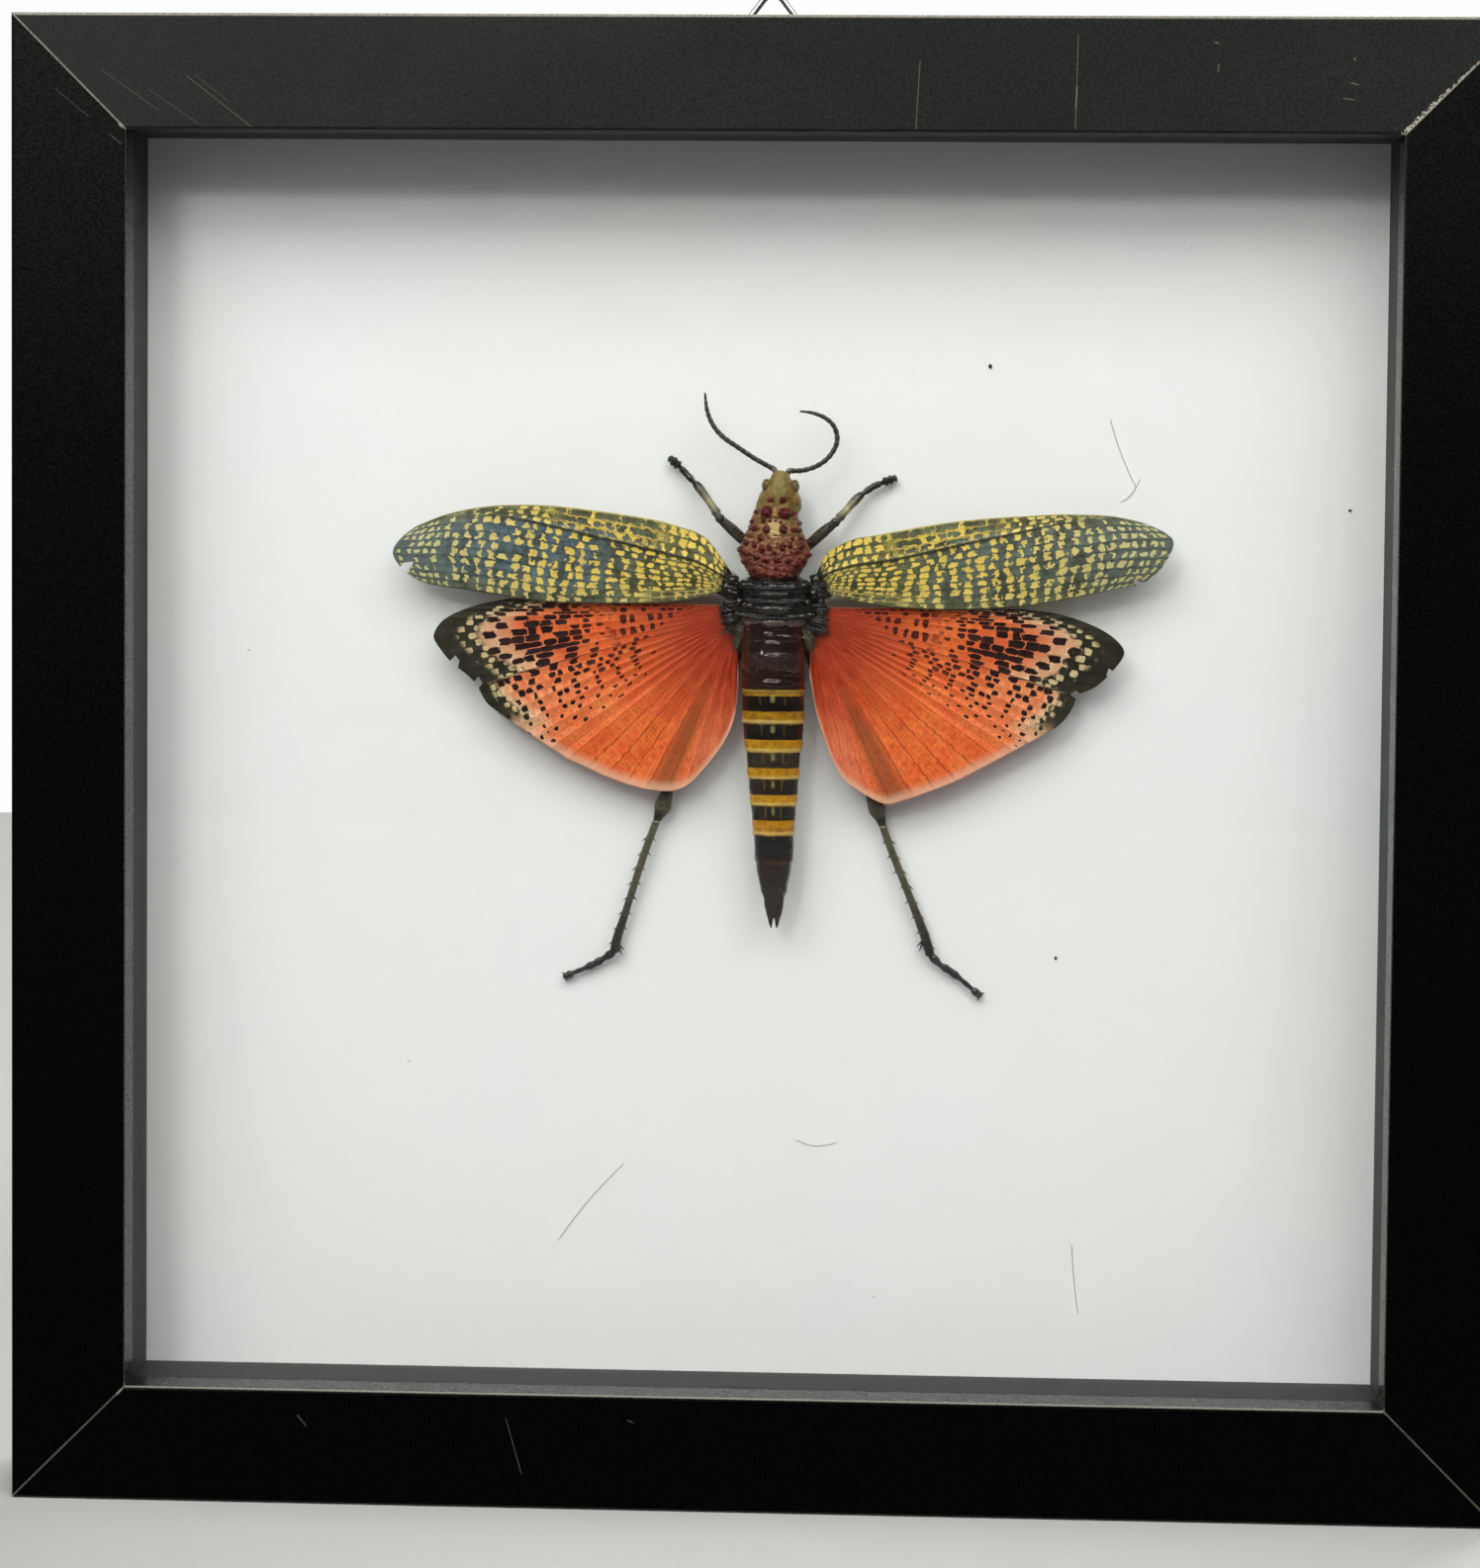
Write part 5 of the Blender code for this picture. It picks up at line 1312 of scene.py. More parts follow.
# The tone gives the legs their own olive and pale colours; on the thorax plates it is a painted sheen.
colour = recipe.mix(recipe.fade(tone, 0.0, 0.4), black,
                    recipe.mix(mottle, tint(54, 50, 36), tint(90, 84, 62)))
colour = recipe.mix(recipe.fade(tone, 0.4, 1.0), colour,
                    recipe.mix(mottle, tint(150, 142, 100), tint(186, 176, 132)))
colour = recipe.mix(recipe.value_of("ends"), colour, recipe.mix(mottle, tint(56, 44, 40), tint(92, 78, 70)))
worn_gloss = recipe.plus(recipe.fade(pits, 0.3, 0.7, 0.12, 0.28), recipe.fade(tone, 0.02, 0.3, 0.0, 0.14))
recipe.finish(recipe.shell(colour, worn_gloss, recipe.bump(pits, 0.012), Specular_IOR_Level=0.4,
                           Coat_Weight=0.5, Coat_Roughness=0.08))

thorax = make_skin("locust_thorax", THORAX_STATIONS, 110, 180, thorax_relief, BLACK_SHELL, "thorax")
print(thorax.name, len(thorax.data.vertices), "points")

# %% [markdown]
# ## Abdomen
#
# Ten overlapping rings taper to a forked tip. Each ring's rear edge stands a little proud of
# the next one. The bands of black and yellow are a ramp along the body, bent and broken by a
# noise so that their edges aren't ruled, with a pale spot on the middle line of each ring.

# %% Abdomen shape
ABDOMEN_WIDTHS = [(24.6, 4.9), (24, 5.1), (18, 5.5), (11, 5.4), (6, 5.2), (0.4, 4.6), (-3.6, 4.3),
                  (-8.3, 3.85), (-11.8, 3.55), (-15, 3.35), (-18, 3.0), (-22, 2.05), (-25.2, 1.4),
                  (-26.3, 1.0)]
RING_ENDS = [24.6, 18.3, 12.4, 7.05, 2.26, -2.43, -6.91, -12.0, -16.6, -22.0, -26.3]
ABDOMEN_FLATNESS = 0.72
TAIL_DRIFT = 0.012
SWELLINGS = [(20.3, 0.9, 1.7, 0.4), (18.0, 0.8, 1.9, 0.35), (13.7, 0.9, 2.2, 0.35), (-13.4, 1.3, 1.5, 0.2)]


def abdomen_station(z, wide):
    """The abdomen is oval, and its tail drifts a little to the right."""
    return (z, BODY_MIDDLE + TAIL_DRIFT * (12 - z), wide, wide * ABDOMEN_FLATNESS, BODY_HEIGHT)


def abdomen_relief(x, z, turn):
    """Overlapping rings with lips, a keel, a fold down each side and swellings."""
    ends = np.array(RING_ENDS)
    number = np.clip(np.searchsorted(-ends, -z, side="right") - 1, 0, len(ends) - 2)
    share = (ends[number] - z) / (ends[number] - ends[number + 1])
    taper = np.interp(z, (-26, -20, -10), (0.45, 0.7, 1.0))
    flare = (0.15 * fade(share, 0.1, 0.95) - 0.1) * taper
    lip = 0.07 * fade(share, 0.86, 0.93) * fade(share, 1.0, 0.97) * taper
    top = fade(np.sin(turn), -0.1, 0.5)
    middle = BODY_MIDDLE + TAIL_DRIFT * (12 - z)
    keel = 0.22 * fade(np.abs(x - middle), 0.7, 0.0) * top * taper
    side_fold = -0.25 * fade(np.abs(np.sin(turn) + 0.05), 0.16, 0.0) * fade(z, -14, -8)
    wrinkle = 0.045 * ripple(x, z, 1.8, 31) + 0.03 * ripple(x, z * 2.2, 1.2, 32)
    front = 0.1 * ripple(x, z, 2.3, 33) * fade(z, 11.5, 14.0)
    for at, long, wide, tall in SWELLINGS:
        far = ((x - middle) / wide) ** 2 + ((z - at) / long) ** 2
        front = front + tall * np.clip(1 - far, 0, 1) ** 0.7 * top
    return flare + lip + keel + side_fold + wrinkle + front, {
        "share": share, "off_middle": np.abs(x - middle) / np.interp(z, (-26, 24), (1.0, 5.2)),
        "lip": fade(share, 0.84, 0.92), "side": np.abs(np.cos(turn))}


print("abdomen:", len(RING_ENDS) - 1, "rings")

# %% [markdown]
# The bands, from the thorax to the tip, are listed as (where the band starts, its colour).
# Between two entries the colour stays the same, which is what a constant ramp does.

# %% Abdomen finish
FIRST_Z, LAST_Z = 26.0, -30.0
BANDS = [(26.0, (30, 18, 16)), (19.4, (46, 31, 27)), (16.0, (34, 19, 13)), (12.95, (146, 112, 22)),
         (11.9, (16, 12, 7)), (9.35, (148, 108, 14)), (7.05, (15, 11, 7)), (4.45, (172, 124, 12)),
         (2.26, (46, 38, 24)), (-0.4, (168, 120, 16)), (-2.43, (36, 28, 17)), (-4.9, (172, 124, 18)),
         (-6.91, (32, 25, 16)), (-9.4, (170, 116, 12)), (-11.9, (15, 9, 5)), (-16.2, (56, 34, 16)),
         (-16.9, (27, 14, 8)), (-21.0, (42, 30, 17)), (-24.0, (26, 17, 10))]
BANDED_SHELL, recipe = new_finish("banded_shell")
place = recipe.in_mm()
_, _, z = recipe.split(place)
mottle = recipe.effect("shell_mottle", place, Scale=0.9)
uneven = recipe.minus(recipe.noise(place, 0.9, 3.0, 0.6), 0.5)
from_front = recipe.minus(FIRST_Z + MIDDLE_UP, recipe.math("MULTIPLY_ADD", uneven, 0.55, z))
along = recipe.math("DIVIDE", from_front, FIRST_Z - LAST_Z)
bands = recipe.ramp(along, [((FIRST_Z - z_at) / (FIRST_Z - LAST_Z), tint(*shade)) for z_at, shade in BANDS],
                    "CONSTANT")
warm = recipe.mix(mottle, (0.6, 0.54, 0.5), (1.2, 1.2, 1.1))
colour = recipe.mix(1.0, bands, warm, "MULTIPLY")
share, off_middle = recipe.value_of("share"), recipe.value_of("off_middle")
pale_dot = recipe.times(recipe.fade(off_middle, 0.13, 0.06), recipe.fade(share, 0.02, 0.1))
pale_dot = recipe.times(pale_dot, recipe.fade(share, 0.36, 0.24))
in_bands = recipe.times(recipe.fade(z, MIDDLE_UP - 12.5, MIDDLE_UP - 11.5),
                        recipe.fade(z, MIDDLE_UP + 13.0, MIDDLE_UP + 12.0))
colour = recipe.mix(recipe.times(pale_dot, recipe.times(in_bands, 0.55)), colour, tint(150, 138, 84))
gap = recipe.fade(recipe.size_of(recipe.minus(off_middle, 0.52)), 0.09, 0.02)
gap = recipe.times(gap, recipe.times(in_bands, recipe.fade(share, 0.46, 0.36)))
colour = recipe.mix(recipe.times(gap, recipe.fade(z, MIDDLE_UP + 6.0, MIDDLE_UP, 0.3, 0.6)), colour,
                    tint(92, 74, 36))
rim = recipe.times(recipe.times(recipe.value_of("lip"), in_bands), 0.5)
colour = recipe.mix(rim, colour, tint(206, 186, 110))
red_side = recipe.times(recipe.fade(recipe.value_of("side"), 0.6, 0.95),
                        recipe.fade(z, MIDDLE_UP + 9.0, MIDDLE_UP + 16.0))
colour = recipe.wash(colour, red_side, 0.25, tint(92, 34, 22))
sheen = recipe.fade(recipe.noise(place, 1.1, 3.0, 0.6), 0.35, 0.65, 0.1, 0.24)
sheen = recipe.minus(sheen, recipe.fade(z, MIDDLE_UP + 11.0, MIDDLE_UP + 14.0, 0.0, 0.06))
recipe.finish(recipe.shell(colour, sheen, recipe.bump(recipe.noise(place, 1.2, 1.0), 0.02),
                           Specular_IOR_Level=0.35, Coat_Weight=0.4, Coat_Roughness=0.1))

abdomen = make_skin("locust_abdomen", [abdomen_station(*pair) for pair in ABDOMEN_WIDTHS], 260, 84,
                    abdomen_relief, BANDED_SHELL, "abdomen", 2.15)
print(abdomen.name, len(abdomen.data.vertices), "points,", len(BANDS), "bands")

# %% [markdown]
# ## Legs and antennae
#
# Limbs are tubes along smooth routes, but a tube alone looks like wire. So a limb is made of
# several: each has its own widths along the way and can be flattened, and claws, spines and
# knee knobs are small tubes and balls added to the same piece. Every part carries one number,
# its tone, which the shell finish turns into black, olive or pale.


# %% A limb builder
class Limb:
    """Gathers tubes into one piece."""

    def __init__(self):
        self.places, self.faces, self.tones, self.count = [], [], [], 0

    def tube(self, line, sides=12, flat=1.0, tone=0.0, steps=24, knobs=None):
        """A tube through (x, z, height, radius); knobs is (segments, how much slimmer between)."""
        line = smooth_line(line, steps)
        centre, radius = line[:, :3], line[:, 3]
        ahead = np.gradient(centre, axis=0)
        ahead /= np.linalg.norm(ahead, axis=1)[:, None] + 1e-9
        off_board = np.array([0.0, 0.0, 1.0])
        across = np.cross(ahead, off_board)
        across /= np.linalg.norm(across, axis=1)[:, None] + 1e-9
        upward = np.cross(across, ahead)
        share = np.linspace(0, 1, steps)
        if knobs:
            radius = radius * (1 - knobs[1] * np.abs(np.cos(math.pi * share * knobs[0])) ** 6)
        turn = np.linspace(0, 2 * math.pi, sides, endpoint=False)
        ring = across[:, None] * np.cos(turn)[None, :, None]
        ring = ring + upward[:, None] * (flat * np.sin(turn))[None, :, None]
        shape = centre[:, None] + ring * radius[:, None, None]
        tones = np.interp(share, *zip(*tone)) if isinstance(tone, list) else np.full(steps, float(tone))
        self.keep(shape, centre, np.repeat(tones, sides), tones)

    def keep(self, shape, centre, tones, ends):
        """Adds a ring-by-ring shape, with a point at each end that closes it."""
        steps, sides = shape.shape[:2]
        self.faces += [[corner + self.count for corner in face] for face in tube_faces(steps, sides)]
        self.places.append(np.vstack([shape.reshape(-1, 3), centre[:1], centre[-1:]]))
        self.tones.append(np.concatenate([tones, [ends[0], ends[-1]]]))
        self.count += steps * sides + 2

    def ball(self, x, z, height, radius, tone=0.0, stretch=1.0):
        share = np.linspace(0.04, math.pi - 0.04, 9)
        line = [(x, z + radius * stretch * math.cos(a), height, radius * math.sin(a)) for a in share]
        self.tube(line, tone=tone, steps=14)

    def spine(self, x, z, height, to_x, to_z, rise, radius, tone=0.0):
        bend = (x * 0.45 + to_x * 0.55 + 0.03, z * 0.45 + to_z * 0.55, height + rise * 0.4, radius * 0.6)
        self.tube([(x, z, height, radius), bend, (to_x, to_z, height + rise, radius * 0.12)], sides=7,
                  tone=tone, steps=8)

    def make(self, name, finish, node):
        places = np.vstack(self.places)
        values = {"tone": np.concatenate(self.tones), "ends": np.zeros(len(places))}
        piece = add_piece(name, spot(*places.T), self.faces, finish, values)
        if node:
            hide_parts(node)
        return piece


print("limb builder ready")

# %% [markdown]
# ## Routes of the legs
#
# Each leg is a list of points along its middle line, from the body to the claws, read off the
# photograph: right, up, off the board, and how thick. The middle legs lie under the wings,
# where the photograph can't show them, so their routes are a guess from such a locust.

# %% Leg routes
FORELEGS = {
    "left": [(-1.2, 36.4, 2.6, 0.8), (-4.6, 39.6, 3.5, 0.98), (-6.9, 41.7, 4.2, 0.7), (-7.6, 42.8, 4.0, 0.6),
             (-9.0, 44.8, 3.4, 0.6), (-10.6, 46.9, 2.7, 0.7), (-11.4, 47.7, 2.4, 0.5),
             (-13.0, 49.4, 1.8, 0.6), (-14.0, 50.4, 1.5, 0.4), (-14.6, 51.0, 1.4, 0.85),
             (-15.5, 51.7, 1.2, 0.6)],
    "right": [(6.6, 35.7, 2.6, 0.8), (10.3, 39.2, 3.5, 0.98), (12.7, 41.2, 4.2, 0.7), (13.6, 42.2, 4.0, 0.6),
              (14.9, 43.7, 3.4, 0.6), (16.3, 45.2, 2.7, 0.7), (17.3, 46.1, 2.4, 0.5), (19.2, 47.4, 1.8, 0.6),
              (20.6, 48.0, 1.5, 0.4), (21.6, 48.4, 1.4, 0.8), (22.6, 48.7, 1.2, 0.6)],
}
MIDLEGS = {
    "left": [(-2.4, 27.2, 1.6, 0.8), (-7, 29.6, 2.0, 0.95), (-13.5, 33.0, 2.4, 0.6), (-14.6, 33.6, 2.3, 0.7),
             (-23, 35.5, 1.6, 0.5), (-24, 35.8, 1.4, 0.45), (-28.6, 36.8, 0.9, 0.4)],
    "right": [(7.4, 27.2, 1.6, 0.8), (12, 29.4, 2.0, 0.95), (18.5, 32.6, 2.4, 0.6), (19.6, 33.2, 2.3, 0.7),
              (28, 35.0, 1.6, 0.5), (29, 35.3, 1.4, 0.45), (33.6, 36.2, 0.9, 0.4)],
}
HINDLEGS = {
    "left": [(-3.0, 21.0, 2.0, 1.0), (-5.0, 17.6, 2.2, 1.7), (-7.4, 12.8, 2.2, 1.6), (-11.4, 4.4, 2.3, 1.05),
             (-14.4, -2.2, 2.4, 0.85), (-15.7, -5.4, 2.4, 1.1), (-16.4, -7.8, 2.3, 1.55),
             (-17.0, -9.2, 2.2, 1.0), (-17.5, -10.4, 2.2, 0.6), (-19.7, -16.5, 2.1, 0.6),
             (-22.4, -25.2, 1.9, 0.6), (-24.1, -30.6, 1.7, 0.75), (-24.6, -33.0, 1.5, 0.75),
             (-26.4, -34.2, 1.3, 0.5), (-28.0, -35.2, 1.2, 0.7), (-29.7, -36.0, 1.1, 0.45),
             (-31.6, -36.8, 1.0, 0.4), (-32.9, -37.4, 1.0, 0.7)],
    "right": [(8.0, 21.0, 2.0, 1.0), (9.8, 17.2, 2.2, 1.7), (11.8, 12.4, 2.2, 1.6), (15.4, 4.0, 2.3, 1.05),
              (18.2, -2.6, 2.4, 0.85), (19.4, -5.4, 2.4, 1.1), (20.3, -7.8, 2.3, 1.5), (20.9, -9.3, 2.2, 1.0),
              (21.4, -10.8, 2.2, 0.6), (23.0, -15.2, 2.1, 0.6), (26.0, -22.6, 1.9, 0.6),
              (28.6, -29.2, 1.7, 0.75), (29.7, -32.8, 1.5, 0.75), (31.4, -34.5, 1.3, 0.5),
              (33.2, -35.6, 1.2, 0.7), (34.8, -36.8, 1.1, 0.45), (36.8, -38.5, 1.0, 0.4),
              (38.1, -39.6, 1.0, 0.7)],
}


print(len(FORELEGS["left"]), len(MIDLEGS["left"]), len(HINDLEGS["left"]), "points on the left legs")

# %% [markdown]
# ## Legs
#
# The forelegs have a dark thigh and a pale shin. The hind legs have a stout thigh that runs out
# from under the wing, a knee, and a long shin with two rows of spines. Every foot is the same
# kind of thing, three padded joints and two claws, so one function makes them all.


# %% Make the legs
def scaled(points, share):
    """The same route with its thickness changed."""
    return [(x, z, height, radius * share) for x, z, height, radius in points]


def add_foot(limb, route, first, claw=0.9):
    """Three padded joints of the foot, then the pad and two hooked claws at its end."""
    for start, end in zip(route[first:], route[first + 1:]):
        x0, z0, h0, r0 = start
        x1, z1, h1, r1 = end
        middle = ((x0 + x1) / 2, (z0 + z1) / 2, (h0 + h1) / 2, max(r0, r1) * 1.02)
        limb.tube([(x0, z0, h0, r0 * 0.68), middle, (x1, z1, h1, r1 * 0.76)], flat=0.85, steps=10, tone=0.05)
        limb.ball(x1, z1, h1 - 0.15, min(r1, 0.6) * 1.05, 0.02)
    x, z, height, radius = route[-1]
    go = np.array([x - route[-2][0], z - route[-2][1]])
    go /= np.linalg.norm(go)
    out = np.array([-go[1], go[0]])
    limb.ball(x, z, height, radius * 0.9, 0.08)
    for side in (-1, 1):
        tip = np.array([x, z]) + go * claw * 0.55 + out * side * claw
        limb.spine(x, z, height, tip[0], tip[1], -0.15, 0.3)


def make_foreleg(side):
    """Dark thigh, pale shin with four small spines, and foot."""
    route = FORELEGS[side]
    limb = Limb()
    limb.tube(scaled(route[:4], 1.0), sides=16, flat=1.05, steps=40,
              tone=[(0, 0.12), (0.6, 0.2), (0.85, 0.12), (1, 0.3)])
    limb.ball(*route[3][:3], 0.84, 0.5)
    limb.ball(route[2][0], route[2][1], route[2][2] + 0.1, 0.86, 0.16)
    limb.tube(scaled(route[3:7], 1.12), sides=14, steps=30,
              tone=[(0, 0.55), (0.3, 0.7), (0.55, 0.5), (0.75, 0.3), (0.9, 0.08), (1, 0.02)])
    for i in range(4):
        share = 0.35 + 0.16 * i
        a, b = np.array(route[4]), np.array(route[6])
        x, z, height, _ = a + (b - a) * share
        limb.spine(x, z, height, x + 0.75 * (1 if side == "left" else -1), z + 0.35, 0.1, 0.16)
    add_foot(limb, route, 6, 0.7)
    return limb.make("locust_foreleg_" + side, BLACK_SHELL, "foreleg_" + side)


def make_midleg(side):
    """A plain short leg, hidden under the wings."""
    route = MIDLEGS[side]
    limb = Limb()
    limb.tube(scaled(route[:3], 0.95), sides=14, steps=26, tone=[(0, 0.1), (0.7, 0.3), (1, 0.5)])
    limb.ball(*route[3][:3], 0.6, 0.6)
    limb.tube(scaled(route[3:5], 0.8), sides=12, steps=18, tone=[(0, 0.7), (1, 0.3)])
    add_foot(limb, route, 4, 0.6)
    return limb.make("locust_midleg_" + side, BLACK_SHELL, "midleg_" + side)


def make_hindleg(side):
    """Stout thigh, knee, spiny shin with four spurs, and foot."""
    route = HINDLEGS[side]
    limb = Limb()
    limb.tube(scaled(route[:6], 0.95), sides=20, flat=0.9, steps=60, tone=[(0, 0.1), (0.5, 0.3), (1, 0.2)])
    limb.tube(scaled(route[5:9], 0.96), sides=20, flat=0.85, steps=34,
              tone=[(0, 0.25), (0.5, 0.3), (0.75, 0.12), (1, 0.15)])
    limb.ball(*route[8][:3], 0.74, 0.62, 0.4)
    shin = scaled(route[8:13], 1.1)
    limb.tube(shin, sides=14, steps=60, tone=[(0, 0.34), (0.35, 0.3), (0.8, 0.14), (1, 0.02)])
    line = smooth_line(shin, 40)
    for i in range(8):
        z = -13 - 18 * i / 7
        x, _, height, _ = line[np.argmin(np.abs(line[:, 1] - z))]
        for way, far in ((-1, 1.45 if side == "left" else 1.0), (1, 1.45 if side == "right" else 1.0)):
            limb.spine(x + way * 0.3, z, height, x + way * far, z - 0.8, 0.2, 0.22,
                       [(0, 0.1), (0.6, 0.2), (1, 0.6)])
    x, z, height, _ = route[11]
    for way in (-1, 1):
        limb.spine(x + way * 0.3, z - 1.2, height, x + way * 1.35, z - 2.2, 0.2, 0.22)
        limb.spine(x + way * 0.2, z - 1.4, height, x + way * 0.9, z - 3.0, 0.5, 0.24)
    add_foot(limb, route, 12, 0.95)
    return limb.make("locust_hindleg_" + side, BLACK_SHELL, "hindleg_" + side)


for side in BOTH_SIDES:
    for leg in (make_foreleg(side), make_midleg(side), make_hindleg(side)):
        print(leg.name, len(leg.data.vertices), "points")

# %% [markdown]
# ## Tail fork and wing joints
#
# The abdomen ends in two pointed valves. Where the wings hinge, the real thorax is a tangle of
# black knobs, the stems of the front veins, and hairs. It can't be copied bit by bit, so knobs
# are placed one by one, and seeded random puts the ribs and hairs between them.


# %% Make the tail fork and the wing joints
TAIL_X = 2.93


def make_tail_fork():
    """The two pointed valves at the abdomen's end, with a plate over them."""
    limb = Limb()
    for way in (-1, 1):
        limb.tube([(TAIL_X + way * 0.42, -23.0, 5.2, 0.9), (TAIL_X + way * 0.52, -25.2, 5.2, 0.72),
                   (TAIL_X + way * 0.56, -26.8, 5.1, 0.42), (TAIL_X + way * 0.46, -28.1, 5.0, 0.1)],
                  sides=16, flat=0.9, steps=26, tone=0.08)
        limb.tube([(TAIL_X + way * 1.2, -21.6, 5.0, 0.5), (TAIL_X + way * 1.35, -23.4, 5.0, 0.34),
                   (TAIL_X + way * 1.1, -24.9, 5.0, 0.1)], steps=14, tone=0.1)
    limb.tube([(TAIL_X, -21.0, 6.0, 1.2), (TAIL_X, -22.8, 6.0, 0.85), (TAIL_X, -24.6, 5.8, 0.2)],
              sides=16, flat=0.45, steps=20, tone=0.22)
    return limb.make("locust_tail_fork", BLACK_SHELL, None)


JOINT_LUMPS = {
    "left": [(-4.6, 31.2, 6.6, 1.0), (-5.6, 29.9, 6.4, 0.9), (-4.2, 28.9, 7.2, 0.9), (-5.4, 27.4, 6.3, 0.8),
             (-3.4, 27.6, 8.0, 0.7), (-5.6, 25.6, 6.0, 0.9), (-4.6, 24.2, 5.8, 0.8), (-5.1, 23.0, 5.4, 0.6),
             (-2.4, 30.4, 7.9, 0.7), (-3.6, 25.4, 7.4, 0.8)],
    "right": [(9.6, 31.3, 6.6, 1.0), (10.6, 30.0, 6.4, 0.9), (9.2, 29.0, 7.2, 0.9), (10.4, 27.6, 6.3, 0.8),
              (8.2, 27.6, 8.0, 0.7), (10.4, 25.7, 6.0, 0.9), (9.4, 24.1, 5.8, 0.8), (9.7, 22.9, 5.4, 0.6),
              (7.4, 30.4, 7.9, 0.7), (8.5, 25.3, 7.4, 0.8)],
}


def make_wing_joints(side):
    """Knobs where the wings hinge, the stems of their front veins, and a fringe of hairs."""
    limb = Limb()
    way = -1 if side == "left" else 1
    for x, z, height, radius in JOINT_LUMPS[side]:
        limb.ball(x, z, height - 0.3, radius, chance.uniform(0.0, 0.1), chance.uniform(0.8, 1.3))
    edge = BODY_MIDDLE + way * 8.0
    for _ in range(34):
        z, radius = chance.uniform(22.8, 32.0), chance.uniform(0.16, 0.42)
        reach, height = chance.uniform(0.3, 1.5), chance.uniform(5.8, 7.0)
        end_z = z + (z - 27.4) * 0.16 + chance.uniform(-0.3, 0.3)
        limb.tube([(edge - way * 2.0, z, height, radius), (edge - way * 0.4, (z + end_z) / 2, height, radius),
                   (edge + way * reach, end_z, height - 0.5, radius * 0.45)], sides=8, flat=0.7, steps=12,
                  tone=chance.uniform(0.0, 0.12))
    for _ in range(150):
        x, z = edge - way * chance.uniform(0.0, 2.0), chance.uniform(22.4, 32.2)
        reach, rise = chance.uniform(0.6, 2.2), chance.uniform(-0.4, 0.5)
        height = chance.uniform(5.7, 6.9)
        end_z = z + (z - 27) * 0.2 + chance.uniform(-0.7, 0.7)
        limb.spine(x, z, height, x + way * reach, end_z, rise, 0.05, 0.12)
    for _ in range(70):
        x, z = edge - way * chance.uniform(1.6, 3.2), chance.uniform(21.4, 23.4)
        height = chance.uniform(5.0, 6.8)
        end_x, end_z = x + way * chance.uniform(0.2, 1.6), z - chance.uniform(1.2, 3.6)
        limb.spine(x, z, height, end_x, end_z, -0.4, 0.08, 0.42)
    return limb.make("locust_wing_joints_" + side, BLACK_SHELL, None)


print(make_tail_fork().name, "and", [make_wing_joints(side).name for side in BOTH_SIDES])

# %% [markdown]
# ## Antennae
#
# The antennae are threads of short beads. One tube follows each route and narrows between its
# segments, and a thicker olive tube at the root joins it to the head.

# %% Antennae
ANTENNAE = {
    "left": [(2.2, 50.2, 6.0, 0.4), (-0.8, 51.8, 6.0, 0.38), (-3.6, 53.6, 5.8, 0.38), (-6.5, 55.6, 5.6, 0.38),
             (-8.2, 57.6, 5.4, 0.36), (-9.2, 60, 5.2, 0.32), (-9.6, 63, 5.0, 0.14)],
    "right": [(4.9, 49.9, 6.0, 0.4), (7.3, 50, 6.0, 0.38), (9.8, 50.9, 5.8, 0.38), (11.8, 52.6, 5.6, 0.38),
              (12.9, 54.9, 5.4, 0.38), (12.5, 57.2, 5.3, 0.36), (11, 58.8, 5.2, 0.34), (8.8, 59.7, 5.1, 0.28),
              (6.5, 60, 5.0, 0.14)],
}
ANTENNA_SEGMENTS = 17
for side, route in ANTENNAE.items():
    limb = Limb()
    limb.tube(scaled(route, 1.22), sides=12, steps=ANTENNA_SEGMENTS * 12 + 1, knobs=(ANTENNA_SEGMENTS, 0.2),
              tone=0.1)
    x, z, height, _ = route[0]
    collar = np.array(route[0][:2]) * 0.7 + np.array(route[1][:2]) * 0.3
    limb.tube([(x + (0.5 if side == "left" else -0.4), z - 0.75, height, 0.45), (x, z, height, 0.5),
               (*collar, height, 0.34)], steps=12, tone=0.35)
    antenna = limb.make("locust_antenna_" + side, BLACK_SHELL, "antenna_" + side)
    print(antenna.name, ANTENNA_SEGMENTS, "segments")

# %% [markdown]
# ## Specks and stray hairs
#
# A few dark specks and hairs lie on the board, and some white grains of dust on the glass.
# They are tiny pieces of their own, each where the photograph shows it.

# %% Specks and hairs
def litter_finish(name, scale, dark, light, roughness):
    """A dull finish between two colours, for something too small to show more."""
    finish, recipe = new_finish(name)
    shade = recipe.mix(recipe.noise(recipe.in_mm(), scale), tint(*dark), tint(*light))
    recipe.finish(recipe.shell(shade, roughness))
    return finish


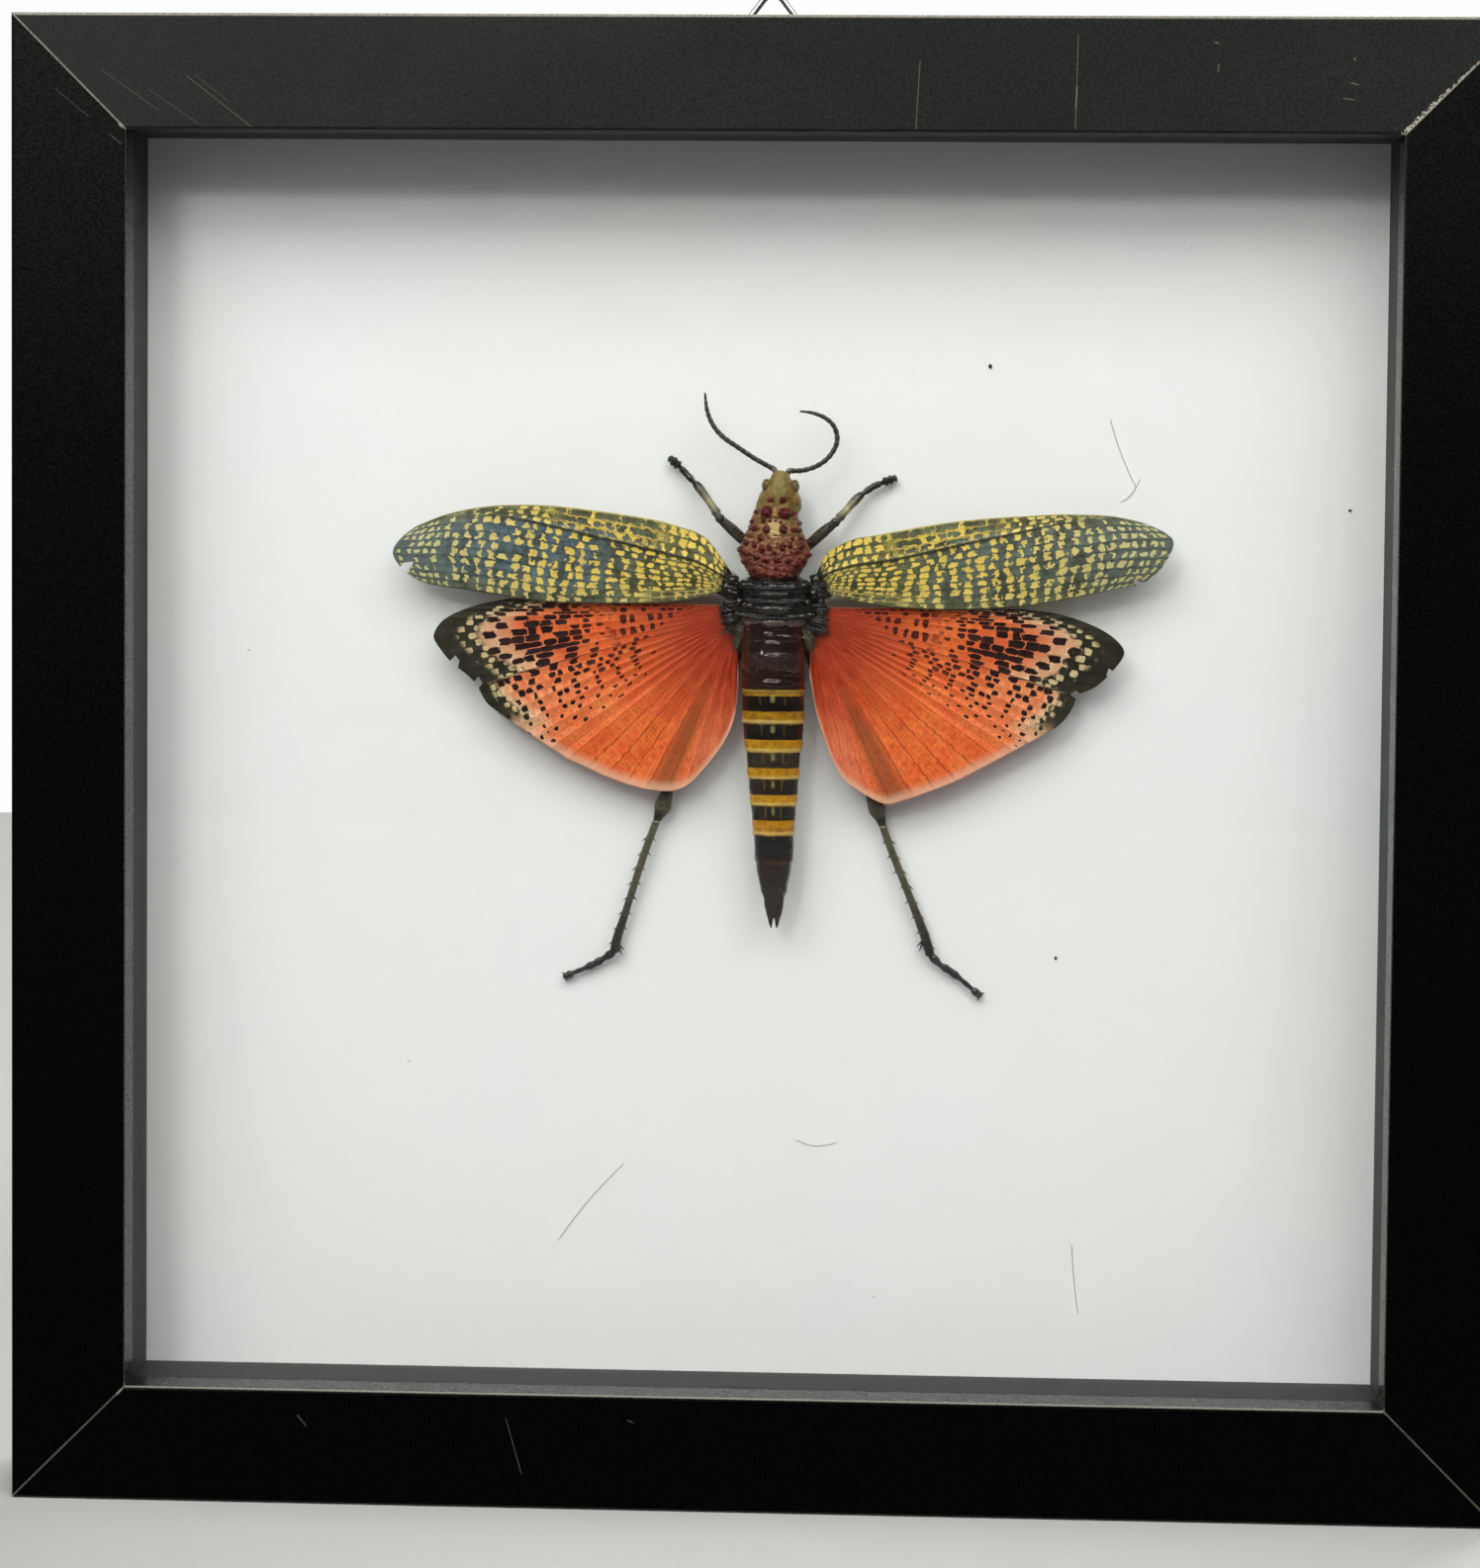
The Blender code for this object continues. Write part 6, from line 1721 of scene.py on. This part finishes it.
STRAY_HAIR = litter_finish("stray_hair", 0.8, (120, 112, 104), (172, 166, 158), 0.6)
DARK_SPECK = litter_finish("dark_speck", 3.0, (20, 18, 16), (48, 42, 36), 0.7)
WHITE_DUST = litter_finish("white_dust", 3.0, (200, 200, 196), (236, 236, 232), 0.8)
HAIRS = [
    [(59.3, 59.1), (60.7, 54.7), (62.4, 50.5), (63.8, 47.7)], [(61.2, 45.0), (63.0, 46.3), (64.5, 49.0)],
    [(-34.0, -83.4), (-30.6, -78.7), (-26.7, -74.0), (-22.9, -70.1)],
    [(7.0, -65.4), (9.6, -66.3), (12.1, -66.2), (13.9, -65.7)], [(54.6, -82.8), (55.0, -88.3), (55.8, -94.8)],
]
SPECKS = [(38.8, 68.0, 0.3, 0.42), (100.1, 44.0, 0.3, 0.22), (51.2, -33.2, 0.26, 0.3),
          (-88.4, 18.2, 0.12, 0.12), (72.6, 88.3, 0.12, 0.1), (-60.3, -52.8, 0.12, 0.12),
          (20.6, -92.4, 0.1, 0.12)]
DUST = [(-69.4, 99.8, 0.22), (96.4, 92.6, 0.2), (97.9, 89.4, 0.18), (99.6, 84.8, 0.16), (85.0, 96.2, 0.18),
        (63.1, 97.6, 0.14), (-97.2, 71.5, 0.14), (-31.4, 89.2, 0.12), (101.2, 60.4, 0.14),
        (-100.4, -38.6, 0.12), (40.2, -97.1, 0.14)]


def make_litter(name, limb, finish):
    """One piece of small things that lie on the board or the glass, riding on the frame."""
    places = np.vstack(limb.places)
    piece = add_piece(name, spot(*places.T), limb.faces, finish)
    return piece


limb = Limb()
for line in HAIRS:
    limb.tube([(x, z, 0.07, 0.055) for x, z in line], sides=6, steps=24)
make_litter("board_hairs", limb, STRAY_HAIR)
limb = Limb()
for x, z, wide, long in SPECKS:
    limb.ball(x, z, 0.1, wide, stretch=long / wide)
make_litter("board_specks", limb, DARK_SPECK)
limb = Limb()
glass_height = (BOARD_Y - GLASS_FRONT_Y) / MM
for x, z, radius in DUST:
    limb.tube([(x - radius, z - radius * 2, glass_height + 0.04, 0.03),
               (x, z, glass_height + 0.05, radius * 0.5),
               (x + radius, z + radius, glass_height + 0.04, 0.03)], sides=6, steps=8)
make_litter("glass_dust", limb, WHITE_DUST)
print(len(HAIRS), "hairs,", len(SPECKS), "specks and", len(DUST), "grains of dust")

# %% [markdown]
# ## Bring the scene up to date
#
# With every piece made, the view layer is updated once more.

# %% Update the scene
bpy.context.view_layer.update()
